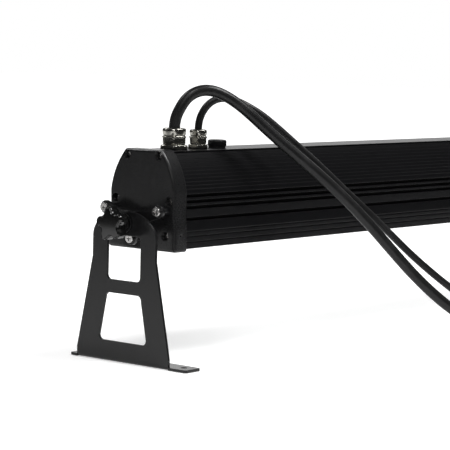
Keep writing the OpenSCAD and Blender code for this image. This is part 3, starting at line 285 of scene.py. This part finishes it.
def rubber(name, colour, roughness, grain=900.0, depth=0.00004, **constants):
    """Soft black polymer with a dry skin and a little dust."""
    look = Look(name, colour, roughness, **constants)
    skin = look.noise(grain, detail=4.0, roughness=0.6)
    dust = look.noise(35.0, detail=5.0, roughness=0.62).between(0.45, 0.8)
    dusty = tuple(c * 1.9 + 0.004 for c in colour)
    look.feed("Base Color", look.mix(dust, colour, dusty))
    uneven = skin * 0.4 + dust * 0.6
    look.feed("Roughness", uneven.spread(roughness - 0.05, roughness + 0.12))
    look.bump(skin, depth)
    return look.material


def moulded(name, colour, roughness, grain=500.0, depth=0.00001, **constants):
    """Moulded plastic: smooth, with the faintest ripple from the tool."""
    look = Look(name, colour, roughness, **constants)
    ripple = look.noise(grain, detail=2.0)
    flow = look.noise(60.0, detail=2.0, distortion=0.4)
    look.feed("Base Color", look.mix(flow, colour, shade(colour, 1.3)))
    look.feed("Roughness", flow.spread(roughness * 0.8, roughness * 1.3))
    look.bump(ripple, depth)
    return look.material


def clear(name, colour, roughness, ior):
    """Clear glass or acrylic, with a trace of smear on its faces."""
    look = Look(name, colour, roughness, IOR=ior, Transmission_Weight=1.0)
    smear = look.noise(14.0, detail=5.0, distortion=0.8).between(0.5, 0.85)
    look.feed("Roughness", smear.spread(roughness, roughness + 0.05))
    return look.material


def board(name, mask, copper, scale):
    """Circuit board: solder mask over tracks, whose edges stand up a little."""
    look = Look(name, mask, 0.42)
    tracks = look.node("ShaderNodeTexBrick", {
        "Vector": look.place(), "Scale": scale, "Mortar Size": 0.035,
        "Mortar Smooth": 0.2, "Brick Width": 0.9, "Row Height": 0.3}, out="Fac")
    weave = look.noise(2200.0, detail=2.0)
    look.feed("Base Color", look.mix(tracks * 0.85 + weave * 0.15, mask, copper))
    look.bump(tracks * 0.8 + weave * 0.2, 0.00004)
    return look.material


LOOKS = {
    "black_anodised": anodised("black anodised", (0.004, 0.004, 0.0046), 0.32,
                               Specular_IOR_Level=0.16),
    "black_cast": powder_coat("black powder coat, cast", (0.0088, 0.0088, 0.0092), 0.27,
                              peel=0.00001, Specular_IOR_Level=0.4),
    "black_sheet": powder_coat("black powder coat, sheet", (0.0082, 0.0082, 0.0086), 0.23,
                               peel=0.00001, Specular_IOR_Level=0.32),
    "black_screw": metal("blackened steel", (0.05, 0.05, 0.052), 0.35),
    "bright_steel": metal("stainless steel", (0.68, 0.67, 0.66), 0.24, marks=0.000004),
    "nickel": metal("dark nickel", (0.43, 0.42, 0.385), 0.2, grain=300.0, marks=0.000002),
    "brass": metal("brass", (0.72, 0.5, 0.2), 0.28),
    "black_rubber": rubber("black rubber", (0.01, 0.01, 0.01), 0.6, Specular_IOR_Level=0.25),
    "lead_jacket": rubber("lead jacket", (0.009, 0.009, 0.0093), 0.36, grain=260.0,
                          depth=0.00001, Specular_IOR_Level=0.3),
    "gloss_knob": moulded("polished black plastic", (0.004, 0.004, 0.004), 0.06,
                          depth=0.000001, Specular_IOR_Level=0.55, Coat_Weight=0.3),
    "black_plastic": moulded("matt black plastic", (0.009, 0.009, 0.0095), 0.3,
                             Specular_IOR_Level=0.35),
    "clear_glass": clear("toughened glass", (0.93, 0.98, 0.965), 0.0, 1.52),
    "clear_lens": clear("lens acrylic", (0.98, 0.99, 1.0), 0.02, 1.49),
    "board_white": board("light board", (0.75, 0.75, 0.72), (0.55, 0.55, 0.52), 60.0),
    "emitter_yellow": moulded("phosphor", (0.85, 0.66, 0.12), 0.35),
    "board_green": board("control board", (0.015, 0.11, 0.045), (0.03, 0.2, 0.085), 90.0),
    "driver_case": powder_coat("driver case", (0.34, 0.345, 0.36), 0.5, grain=600.0),
}

for name, node in nodes.items():
    node.data.materials.clear()
    node.data.materials.append(LOOKS[slot_of[name]])


# ---------------------------------------------------------------- leads: routes and tubes

# Millimetres. The points are those of part.scad, with the top of the mains arch some 3 mm higher.
MAINS_ROUTE = [
    (-451, 0, 208), (-451, 0, 226), (-451, 0, 241), (-449.7, -1, 252.5), (-446.5, -4, 262.5),
    (-441.5, -7.5, 271.5), (-434.5, -12.5, 278), (-425.5, -18.5, 281), (-416.5, -25, 280),
    (-408, -31, 276.2), (-399.5, -37, 270.5), (-388, -46, 260), (-376.5, -54, 248.3),
    (-355.5, -69.5, 226.5), (-334, -85.5, 205.5), (-312.5, -101, 184), (-292, -116, 161.5),
    (-272, -130, 137.5), (-253, -143.5, 113), (-234, -157.5, 88.5), (-214.5, -173, 65.5),
    (-192.5, -188.5, 45), (-167.5, -204, 28), (-137, -218, 15.5), (-110, -226, 9.5),
    (-80, -231, 7.5), (-56, -232, 7.5), (-50, -232, 7.5)
]
DATA_ROUTE = [
    (-412, 0, 208), (-412, 0, 226), (-412, 0, 239), (-411, -0.6, 249), (-408, -3, 258.5),
    (-403, -7, 266.5), (-395.5, -12.5, 271.5), (-386.5, -19.5, 272), (-377.5, -26, 269),
    (-369.5, -32, 264.5), (-357, -41.5, 255.5), (-345.5, -50, 245), (-325, -66, 223.5),
    (-304, -81.5, 201.5), (-283.5, -96.5, 179), (-263, -112, 156.5), (-243, -127.5, 134),
    (-223, -142.5, 111), (-202.5, -158.5, 89), (-180.5, -174.5, 68.5), (-156.5, -189.5, 50),
    (-129, -201, 33), (-102, -206, 19), (-77, -207, 11.5), (-56, -207, 10),
    (-50, -207, 10)
]
MAINS_D = 12.0
DATA_D = 8.0
LEAD_STEP = 3.0
LEAD_SIDES = 24
COIL = {"radius": 77.0, "step": 14.5, "loops": 2, "points": 24, "lead_in": 165.0, "rise": 12.9,
        "tail": 60.0, "climb": 0.5, "plug_z": 19.0}


def through(points, step):
    """A smooth curve through points, as places about step apart: a natural cubic spline."""
    points = np.array(points, float)
    knots = np.r_[0, np.cumsum(np.linalg.norm(np.diff(points, axis=0), axis=1))]
    gaps = np.diff(knots)
    slopes = np.diff(points, axis=0) / gaps[:, None]
    count = len(points)
    system = np.eye(count)
    right = np.zeros((count, 3))
    for i in range(1, count - 1):
        system[i, i - 1:i + 2] = gaps[i - 1], 2 * (gaps[i - 1] + gaps[i]), gaps[i]
        right[i] = 6 * (slopes[i] - slopes[i - 1])
    bend = np.linalg.solve(system, right)
    places = []
    for s in np.linspace(0, knots[-1], max(2, int(round(knots[-1] / step)) + 1)):
        i = min(np.searchsorted(knots, s, side="right") - 1, count - 2)
        h, a, b = gaps[i], knots[i + 1] - s, s - knots[i]
        places.append((bend[i] * a ** 3 + bend[i + 1] * b ** 3) / (6 * h)
                      + (points[i] / h - bend[i] * h / 6) * a
                      + (points[i + 1] / h - bend[i + 1] * h / 6) * b)
    return np.array(places)


def coil_points():
    """The coil of part.scad: a spiral in, a climb, a spiral out on top, and the way to the plug."""
    start = np.array(MAINS_ROUTE[-1], float)
    centre = start + (COIL["lead_in"], COIL["radius"], 0)
    turns_in = (COIL["loops"] - COIL["climb"]) / 2
    points = []
    for t in np.linspace(0, COIL["loops"], COIL["loops"] * COIL["points"] + 1):
        inward = min(t, turns_in, COIL["loops"] - t)
        lift = min(max((t - turns_in) / COIL["climb"], 0), 1)
        reach = COIL["radius"] - COIL["step"] * inward
        turn = 2 * math.pi * t
        points.append((centre[0] + reach * math.sin(turn), centre[1] - reach * math.cos(turn),
                       start[2] + COIL["rise"] * lift))
    plug = (centre[0] + COIL["tail"], start[1], COIL["plug_z"])
    points += [(plug[0] - MAINS_D, plug[1], plug[2]), plug]
    return points


def ring_faces(rings, sides, closed):
    """The faces between rings of points in order; closed joins the last ring to the first."""
    return [(low * sides + here, low * sides + after, high * sides + after, high * sides + here)
            for low, high in ((r, (r + 1) % rings) for r in range(rings if closed else rings - 1))
            for here, after in ((k, (k + 1) % sides) for k in range(sides))]


def tube(name, path, radius, sides=LEAD_SIDES):
    """A round tube swept along a path without twist, closed at both ends."""
    runs = np.gradient(path, axis=0)
    runs /= np.linalg.norm(runs, axis=1)[:, None]
    across = np.cross(runs[0], (0.3, 0.8, 0.5))  # any direction that the first run doesn't share
    across /= np.linalg.norm(across)
    angles = np.linspace(0, 2 * math.pi, sides, endpoint=False)
    rings = []
    for place, run in zip(path, runs):
        across = across - run * np.dot(across, run)
        across /= np.linalg.norm(across)
        up = np.cross(run, across)
        rings.append(place + radius * (np.outer(np.cos(angles), across)
                                       + np.outer(np.sin(angles), up)))
    last = (len(rings) - 1) * sides
    ends = [tuple(range(sides))[::-1], tuple(range(last, last + sides))]
    mesh = bpy.data.meshes.new(name)
    mesh.from_pydata(np.concatenate(rings).tolist(), [],
                     ring_faces(len(rings), sides, closed=False) + ends)
    mesh.shade_smooth()
    return linked(name, mesh)


# ---------------------------------------------------------------- CAD pieces, edges rounded

MERGED = 0.000004   # metres within which the CAD mesh's loose triangles are joined
TOUCHING = 0.00001  # and within which its points count as one part
FLAT = 0.3          # degrees below which two faces count as one
SHARP = 25.0        # degrees above which an edge is rounded
STRAY = 0.0007      # metres that a rounded edge may leave the CAD surface by
SHARED_ROOM = 0.45  # how much of its neighbour an edge's rounding may take, if that is rounded too
FREE_ROOM = 0.9     # and if it isn't
CLEAR_TURN = 0.5    # sine of the angle past which a neighbour always limits the rounding
LEAST_TURN = 0.05
WIDTHS = {  # millimetres of rounding; a name may stand for its left and right piece
    "housing_extrusion": 0.35, "end_cap": 0.6, "stand": 0.35, "pivot_plate": 0.4, "knob": 0.9,
    "knob_washer": 0.3, "pivot_screws": 0.3, "pivot_spacers": 0.2, "cap_screws": 0.2,
    "vent_seal": 0.2, "pivot_stud": 0.3, "friction_washer": 0.2, "knob_insert": 0.2,
    "front_glass": 0.4, "glass_strips": 0.2, "board_screws": 0.2, "cap_grub_screws": 0.15,
    "light_emitters": 0.4, "mains_gland_washer": 0.15, "data_gland_washer": 0.15,
    "cap_gasket": 0.1, "mains_gland_seal": 0.3, "data_gland_seal": 0.3, "mains_plug": 0.6,
    "mains_plug_pins": 0.5, "mains_strain_relief": 0.3, "data_connector": 0.4,
    "data_connector_ring": 0.3, "data_contacts": 0.2, "data_strain_relief": 0.2, "coil_tie": 0.3
}


def finished(name, mesh, node):
    """Links a finished mesh as the piece that stands for this CAD node."""
    made = linked(name, mesh)
    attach(made, body_of[node])
    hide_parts(node)
    return made


def evaluated_mesh(holder):
    """A plain mesh of what the holder's modifiers make of it."""
    bpy.context.view_layer.update()
    graph = bpy.context.evaluated_depsgraph_get()
    return bpy.data.meshes.new_from_object(holder.evaluated_get(graph))


def clean_copy(node):
    """A CAD node's mesh with its triangles joined into flat faces again."""
    bm = bmesh.new()
    bm.from_mesh(nodes[node].data)
    bmesh.ops.remove_doubles(bm, verts=bm.verts, dist=MERGED)
    bmesh.ops.dissolve_limit(bm, angle_limit=math.radians(FLAT), verts=bm.verts, edges=bm.edges)
    return bm


def weigh_edges(bm, width):
    """Gives each sharp edge the share of the width that its neighbours leave room for."""
    layer = bm.edges.layers.float.new("bevel_weight_edge")
    sharp = {e for e in bm.edges
             if len(e.link_faces) == 2 and e.calc_face_angle(0.0) > math.radians(SHARP)}
    for edge in sharp:
        room = width
        for loop in edge.link_loops:
            for other, here in ((loop.link_loop_prev.edge, loop.vert),
                                (loop.link_loop_next.edge, loop.edge.other_vert(loop.vert))):
                along = (edge.other_vert(here).co - here.co).normalized()
                away = (other.other_vert(here).co - here.co).normalized()
                turn = abs(along.cross(away).length)
                if turn > CLEAR_TURN or along.dot(away) > 0:
                    share = SHARED_ROOM if other in sharp else FREE_ROOM
                    room = min(room, share * other.calc_length() * max(turn, LEAST_TURN))
        edge[layer] = max(room, 0.0) / width


def dress(node, width):
    """Stands a copy of a CAD node in its place, its edges rounded so that they catch light."""
    bm = clean_copy(node)
    skin = BVHTree.FromBMesh(bm)
    weigh_edges(bm, width * MM)
    mesh = bpy.data.meshes.new("work")
    bm.to_mesh(mesh)
    bm.free()
    mesh.shade_smooth()
    mesh.materials.clear()
    mesh.materials.append(LOOKS[slot_of[node]])
    work = linked("work", mesh)
    bevel = work.modifiers.new("edges", "BEVEL")
    bevel.width = width * MM
    bevel.segments = 2
    bevel.limit_method = "WEIGHT"
    bevel.use_clamp_overlap = False
    bevel.miter_outer = "MITER_ARC"
    flat = work.modifiers.new("flat", "WEIGHTED_NORMAL")
    flat.keep_sharp = False
    flat.weight = 80
    result = evaluated_mesh(work)
    result.name = node + "_finished"
    for vertex in result.vertices:
        spot, _, _, far = skin.find_nearest(vertex.co)
        if far > STRAY:
            vertex.co = spot
    bpy.data.objects.remove(work)
    bpy.data.meshes.remove(mesh)
    return finished(node + "_finished", result, node)


for piece, width in WIDTHS.items():
    for node in (piece, piece + "_left", piece + "_right"):
        if node in nodes:
            dress(node, width)


# ---------------------------------------------------------------- turned and moulded pieces

MAINS_GLAND = (-0.451, 0, 0.2185)
DATA_GLAND = (-0.412, 0, 0.2185)
VENT = (-0.38, 0, 0.2185)
SOFTNESS = 5.0       # per millimetre: how sharply a hexagon's flat meets its turned corners
FLATS_TURN = 39.0    # degrees that the glands' hexagons are turned by
TURNED_SIDES = 96
TURNED_CREASE = 50.0  # degrees past which an edge of a turned piece stays sharp
ARC_STEPS = 3
ARC_ROOM = 0.45      # how much of a line of a profile the arc at its end may take
LEAST_ARC = 0.02


def softened(bm, mesh, angle):
    """Puts a closed shape into the mesh, faces outwards and smooth but at edges past the angle."""
    bmesh.ops.recalc_face_normals(bm, faces=bm.faces)
    for face in bm.faces:
        face.smooth = True
    for edge in bm.edges:
        edge.smooth = edge.calc_face_angle(0.0) < math.radians(angle)
    bm.to_mesh(mesh)
    bm.free()
    return mesh


def coated(mesh, node):
    mesh.materials.append(LOOKS[slot_of[node]])
    return mesh


def hexagon_cut(radius, flats, angle):
    """How far out a turned radius reaches at an angle, where a hexagon cuts it, softly."""
    part = (angle - math.radians(FLATS_TURN)) % (math.pi / 3) - math.pi / 6
    side = flats / 2 / math.cos(part)
    return radius - math.log1p(math.exp(SOFTNESS * (radius - side))) / SOFTNESS


def turned(name, sections, centre, sides=TURNED_SIDES):
    """A closed turned piece on an upright axis, from (radius, z, across flats or 0) in mm."""
    places = []
    for radius, z, flats in sections:
        for i in range(sides):
            angle = 2 * math.pi * i / sides
            reach = hexagon_cut(radius, flats, angle) if flats else radius
            places.append((centre[0] + reach * MM * math.cos(angle),
                           centre[1] + reach * MM * math.sin(angle), centre[2] + z * MM))
    mesh = bpy.data.meshes.new(name)
    mesh.from_pydata(places, [], ring_faces(len(sections), sides, closed=True))
    bm = bmesh.new()
    bm.from_mesh(mesh)
    return softened(bm, mesh, TURNED_CREASE)


def rounded(profile, width):
    """A turned profile with its corners cut by short arcs, given as (radius, z, flats)."""
    result = []
    for i, here in enumerate(profile):
        before, after = profile[i - 1], profile[(i + 1) % len(profile)]
        back = Vector((before[0] - here[0], before[1] - here[1]))
        ahead = Vector((after[0] - here[0], after[1] - here[1]))
        room = min(width, ARC_ROOM * back.length, ARC_ROOM * ahead.length)
        if room < LEAST_ARC:
            result.append(here)
            continue
        corner = Vector(here[:2])
        start = corner + back.normalized() * room
        end = corner + ahead.normalized() * room
        for k in range(ARC_STEPS + 1):
            t = k / ARC_STEPS
            at = start * (1 - t) ** 2 + corner * 2 * t * (1 - t) + end * t ** 2
            result.append((at.x, at.y, here[2]))
    return result


def turned_piece(node, profile, width, centre):
    mesh = turned(node, rounded(profile, width), centre)
    finished(node + "_finished", coated(mesh, node), node)


def gland_nut(node, centre, flats, thread, cable, height):
    """The domed nut: hexagon, wide rim halfway up, groove, and a crown turned over the flats."""
    foot = 5.8
    rim = foot + (height - foot) * 0.5 - 1.8
    groove = rim + 1.8
    half = flats / 2
    crown = half + 0.35
    mouth = cable / 2 + 0.4
    inside = cable / 2 + 2.2
    wide = flats + 1.6
    profile = [(thread / 2, foot, 0), (half + 0.1, foot, flats), (half + 1.1, foot + 0.9, flats),
               (half + 1.1, rim - 0.5, flats), (half + 0.8, rim - 0.1, flats),
               (half + 0.9, rim, wide), (half + 1.75, rim + 0.55, wide),
               (half + 1.75, rim + 1.25, wide), (half + 0.7, groove, wide),
               (half - 0.5, groove + 0.1, 0), (half - 0.5, groove + 0.9, 0),
               (crown + 0.1, groove + 1.2, flats)]
    for i in range(7):
        angle = math.pi / 2 * i / 6
        profile.append((crown + 0.9 - 3.4 * (1 - math.cos(angle)),
                        height - 3.2 * (1 - math.sin(angle)), flats + 0.8))
    profile += [(mouth, height, 0), (mouth, height - 2.5, 0), (inside, height - 2.5, 0),
                (inside, foot + 3.6, 0), (thread / 2, foot + 3.6, 0)]
    turned_piece(node, profile, 0.25, centre)


def gland_base(node, centre, flats, thread, cable):
    """The lower hexagon with its turned shoulder, the neck above it and the thread below it."""
    half = flats / 2
    bore = cable / 2 + 0.1
    outer = thread / 2
    profile = [(bore, -10, 0), (outer - 0.6, -10, 0), (outer, -9.3, 0)]
    for i in range(6):
        z = -9.3 + 1.5 * i
        profile += [(outer, z + 0.2, 0), (outer - 0.7, z + 0.75, 0), (outer, z + 1.3, 0)]
    profile += [(outer, 1, 0), (half + 0.4, 1, flats), (half + 1.6, 1.5, flats),
                (half + 1.6, 3.5, flats), (half + 0.1, 4.7, flats), (half - 1.4, 5, 0),
                (outer + 1.5, 5, 0), (outer + 1.5, 5.8, 0), (outer - 0.2, 5.8, 0),
                (outer - 0.2, 9.4, 0), (bore, 9.4, 0)]
    turned_piece(node, profile, 0.2, centre)


def lathe(name, profile, sides=48, smooth_angle=40.0):
    """A closed body turned about Z from (radius, z) in millimetres; a radius of 0 closes it."""
    bm = bmesh.new()
    rings = []
    for radius, z in profile:
        if radius == 0:
            rings.append([bm.verts.new((0, 0, z * MM))] * sides)
        else:
            rings.append([bm.verts.new((radius * MM * math.cos(2 * math.pi * i / sides),
                                        radius * MM * math.sin(2 * math.pi * i / sides), z * MM))
                          for i in range(sides)])
    for low, high in zip(rings, rings[1:]):
        for i in range(sides):
            corners = [low[i], low[(i + 1) % sides], high[(i + 1) % sides], high[i]]
            bm.faces.new(list(dict.fromkeys(corners)))
    return softened(bm, bpy.data.meshes.new(name), smooth_angle)


def vent_cap(centre, radius, height, ribs=36, depth=0.35):
    """The breather's moulded cap: a ribbed grip, a groove round it and a dished top."""
    profile = [(0, -4.5), (5.6, -4.5), (6, -4.1), (6, 1.5), (radius - 1, 1.5),
               (radius - 0.6, 1.7), (radius - 0.6, 2.3), (radius, 2.7), (radius, height - 2.2),
               (radius - 0.05, height - 1.5), (radius - 0.35, height - 0.8),
               (radius - 0.9, height - 0.25), (radius - 1.7, height), (radius - 2.6, height),
               (radius - 3.1, height - 0.35), (0, height - 0.35)]
    mesh = lathe("vent_plug", profile, sides=5 * ribs, smooth_angle=60.0)
    for vertex in mesh.vertices:
        reach = math.hypot(vertex.co.x, vertex.co.y) / MM
        if reach > radius - 0.1 and 2.6 < vertex.co.z / MM < height - 2.0:
            angle = math.atan2(vertex.co.y, vertex.co.x)
            deep = depth * (0.5 + 0.5 * math.cos(ribs * angle))
            vertex.co.x *= 1 - deep / reach
            vertex.co.y *= 1 - deep / reach
        vertex.co += Vector(centre)
    finished("vent_cap", coated(mesh, "vent_plug"), "vent_plug")


def row_tree():
    """A Geometry Nodes tree that sets out a piece along X: Count of them, Step metres apart."""
    tree = bpy.data.node_groups.new("row", "GeometryNodeTree")
    tree.interface.new_socket("Geometry", in_out="OUTPUT", socket_type="NodeSocketGeometry")
    kinds = {"Piece": "Object", "Count": "Int", "Step": "Float", "Start": "Vector",
             "Finish": "Material"}
    for label, kind in kinds.items():
        tree.interface.new_socket(label, in_out="INPUT", socket_type="NodeSocket" + kind)
    maker = Wiring(tree)
    piece, count, step, start, finish = maker.node("NodeGroupInput", out=tuple(kinds))
    along = maker.node("GeometryNodeInputIndex") * step
    away = maker.node("ShaderNodeCombineXYZ", along, 0.0, 0.0)
    place = maker.node("ShaderNodeVectorMath", away, start, operation="ADD")
    points = maker.node("GeometryNodePoints", {"Count": count})
    placed = maker.node("GeometryNodeSetPosition", {"Geometry": points, "Position": place})
    shape = maker.node("GeometryNodeObjectInfo", {"Object": piece}, out="Geometry")
    copies = maker.node("GeometryNodeInstanceOnPoints", {"Points": placed, "Instance": shape})
    real = maker.node("GeometryNodeRealizeInstances", {"Geometry": copies})
    last = maker.node("GeometryNodeSetMaterial", {"Geometry": real, "Material": finish})
    maker.node("NodeGroupOutput", last, out=())
    return tree


def in_a_row(mesh, **sizes):
    """The plain mesh of a piece's mesh repeated in a row. Sizes are the tree's named inputs."""
    sizes["Piece"] = linked("piece", mesh)
    holder = linked("holder", bpy.data.meshes.new("holder"))
    maker = holder.modifiers.new("row", "NODES")
    maker.node_group = row_tree()
    for socket in maker.node_group.interface.items_tree:
        if socket.in_out == "INPUT":
            maker[socket.identifier] = sizes[socket.name]
    made = evaluated_mesh(holder)
    holder.modifiers.remove(maker)
    bpy.data.objects.remove(holder)
    bpy.data.objects.remove(sizes["Piece"])
    return made


def node_rows(node):
    """The lowest and highest Z of a CAD node, and the middle X of each of its loose parts."""
    bm = bmesh.new()
    bm.from_mesh(nodes[node].data)
    bmesh.ops.remove_doubles(bm, verts=bm.verts, dist=TOUCHING)
    left = set(bm.verts)
    middles = []
    while left:
        group = {left.pop()}
        reached = set(group)
        while reached:
            reached = {e.other_vert(v) for v in reached for e in v.link_edges} - group
            group |= reached
        left -= group
        across = [v.co.x for v in group]
        middles.append((min(across) + max(across)) / 2)
    heights = [v.co.z for v in bm.verts]
    bm.free()
    return min(heights), max(heights), sorted(middles)


def lens_row(radius=14.5, neck=6.5, steps=8, dish=1.5):
    """The moulded lenses under the glass: a cup for the emitter, a flared side, a dished face."""
    lowest, highest, places = node_rows("lenses")
    height = (highest - lowest) / MM
    flared = radius - 1.6
    inner = radius - 2
    profile = [(0, -2.6), (2.4, -2.4), (3.6, -1.6), (4, 0), (neck, 0)]
    for i in range(1, steps + 1):
        t = i / steps
        profile.append((neck + (flared - neck) * t ** 0.72, -(height - 1.4) * t))
    profile += [(radius - 0.2, -(height - 1.4)), (radius, -(height - 1.2)),
                (radius, -(height - 0.2)), (radius - 0.2, -height), (inner, -height)]
    for i in range(1, steps):
        t = i / steps
        profile.append((inner * (1 - t), -height + dish * math.sin(math.pi / 2 * t)))
    profile.append((0, -height + dish))
    row = in_a_row(lathe("lens", profile), Count=len(places), Step=places[1] - places[0],
                   Start=(places[0], 0, highest), Finish=LOOKS["clear_lens"])
    finished("lens_row", row, "lenses")


gland_nut("mains_gland_nut", MAINS_GLAND, flats=24, thread=20, cable=12, height=22.8)
gland_base("mains_gland_body", MAINS_GLAND, flats=28.4, thread=20, cable=12)
gland_nut("data_gland_nut", DATA_GLAND, flats=17.8, thread=14, cable=8, height=20.6)
gland_base("data_gland_body", DATA_GLAND, flats=20.6, thread=14, cable=8)
vent_cap(VENT, radius=10.2, height=8.8)
lens_row()


# ---------------------------------------------------------------- leads

def lead(name, route, diameter, replaced):
    """One continuous cable through the route's points, in place of the replaced CAD pieces, which
    it hides.
    """
    path = through(route, LEAD_STEP) * MM
    path[:, 2] = np.maximum(path[:, 2], diameter * MM / 2)
    piece = tube(name, path, diameter * MM / 2)
    piece.data.materials.append(LOOKS["lead_jacket"])
    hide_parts(*replaced)
    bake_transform(piece)


lead("mains_cable", MAINS_ROUTE + coil_points(), MAINS_D,
     ["mains_lead", "mains_coil"])
lead("data_cable", DATA_ROUTE, DATA_D, ["data_lead"])


# ---------------------------------------------------------------- stage and light

FLOOR_HALF = 12.0
FLOOR_DROP = 0.0005
SHADOW_SPOT = (-0.47, 0.17, 0.0)   # the middle of the soft shadow that the photograph shows
SHADOW_GLOW = 0.4                  # what the floor gives off there,
NEAR_GLOW = 0.62                   # beside it
FAR_GLOW = 0.38                    # and how much more far away: together 1, which is white
NEAR_REACH = (0.1, 0.3)            # metres from the spot in which the glow changes to the next
FAR_REACH = (0.7, 2.4)
TABLE_LEFT = (-1.66, -1.63)        # where the table ends in mirrors, softly; beyond it mirrors see the floor dark, a painted reflection
TABLE_FRONT = (-0.6, -0.5)
# how brightly mirrors see the table glow: a painted reflection
MIRRORED_TABLE_GLOW = 0.22
AHEAD = (0.773, 0.626, 0.0)        # level, away from the photograph's viewpoint
BEHIND = (0.72, 0.95)              # how much ahead a mirror has to look to see white
PALE = (0.8, 0.8, 0.8)
DARK = (0.03, 0.03, 0.03)
BLACK = (0, 0, 0)
WHITE = (1, 1, 1)
LAMPS = [  # name, place, what it points at, width and height, watts
    ("key", (0.2, -0.85, 1.8), (-0.38, 0, 0.1), (0.7, 0.7), 29),
    ("front_top", (-1.35, -0.55, 1.8), (-0.5, 0, 0.2), (0.45, 0.45), 9),
    ("edge_light", (-2.05, -1.5, 1.45), (-0.5, 0, 0.2), (0.3, 0.6), 6),
    ("back_strip", (-0.75, 1.35, 1.7), (-0.5, 0, 0.15), (1.0, 0.3), 8),
]


def stage_floor():
    """A pale table, white to the camera, that takes soft shadows, which its painted glow washes out
    away from one spot. Mirrors see where it ends: a painted reflection, faintly glowing up to its
    edges and dark beyond.
    """
    mesh = bpy.data.meshes.new("floor")
    corners = [(x * FLOOR_HALF, y * FLOOR_HALF, -FLOOR_DROP)
               for x, y in ((-1, -1), (1, -1), (1, 1), (-1, 1))]
    mesh.from_pydata(corners, [], [(0, 1, 2, 3)])
    look = Look("floor", PALE, 0.9, Specular_IOR_Level=0.0, Emission_Strength=1.0)
    seen, glossy = look.ray_kinds()
    place = look.place()
    flat = look.node("ShaderNodeVectorMath", place, (1.0, 1.0, 0.0), operation="MULTIPLY")
    span = look.node("ShaderNodeVectorMath", flat, SHADOW_SPOT, operation="DISTANCE", out="Value")
    beside = span.between(*NEAR_REACH).spread(SHADOW_GLOW, NEAR_GLOW)
    far = span.between(*FAR_REACH) * FAR_GLOW
    across, along = look.node("ShaderNodeSeparateXYZ", place, out=("X", "Y"))
    table = across.between(*TABLE_LEFT) * along.between(*TABLE_FRONT)
    # painted light: seen directly, the glow washes the lamps' shadows out away from SHADOW_SPOT; in
    # mirrors the table glows, a painted reflection
    glow = seen * (beside + far) + glossy * table * MIRRORED_TABLE_GLOW
    look.feed("Emission Color", look.mix(glow, BLACK, WHITE))
    # painted reflection: mirrors see the floor dark beyond the table's edges
    look.feed("Base Color", look.mix(glossy * (1 - table), PALE, DARK))
    mesh.materials.append(look.material)
    linked("floor", mesh)


def set_world(lit, dim):
    """White behind the object, dim on the camera's side in mirrors, and a level that lights it."""
    world = bpy.data.worlds.new("world")
    scene.world = world
    world.use_nodes = True
    air = Wiring(world.node_tree)
    back = next(n for n in world.node_tree.nodes if n.type == "BACKGROUND")
    seen, glossy = air.ray_kinds()
    way = air.node("ShaderNodeTexCoord", out="Generated")
    facing = air.node("ShaderNodeVectorMath", way, AHEAD, operation="DOT_PRODUCT", out="Value")
    behind = facing.between(*BEHIND).spread(dim, 1.0)
    level = seen + glossy * behind + (1 - (seen + glossy)) * lit
    air.put(back.inputs["Strength"], level)
    back.inputs["Color"].default_value = (*WHITE, 1)


def soft_light(name, place, target, size, power):
    data = bpy.data.lights.new(name, "AREA")
    data.energy = power
    data.shape = "RECTANGLE"
    data.size, data.size_y = size
    light = linked(name, data)
    light.location = place
    light.rotation_euler = (Vector(target) - Vector(place)).to_track_quat("-Z", "Y").to_euler()


scene.view_settings.view_transform = "Standard"
set_world(lit=0.4, dim=0.03)
stage_floor()
for lamp in LAMPS:
    soft_light(*lamp)
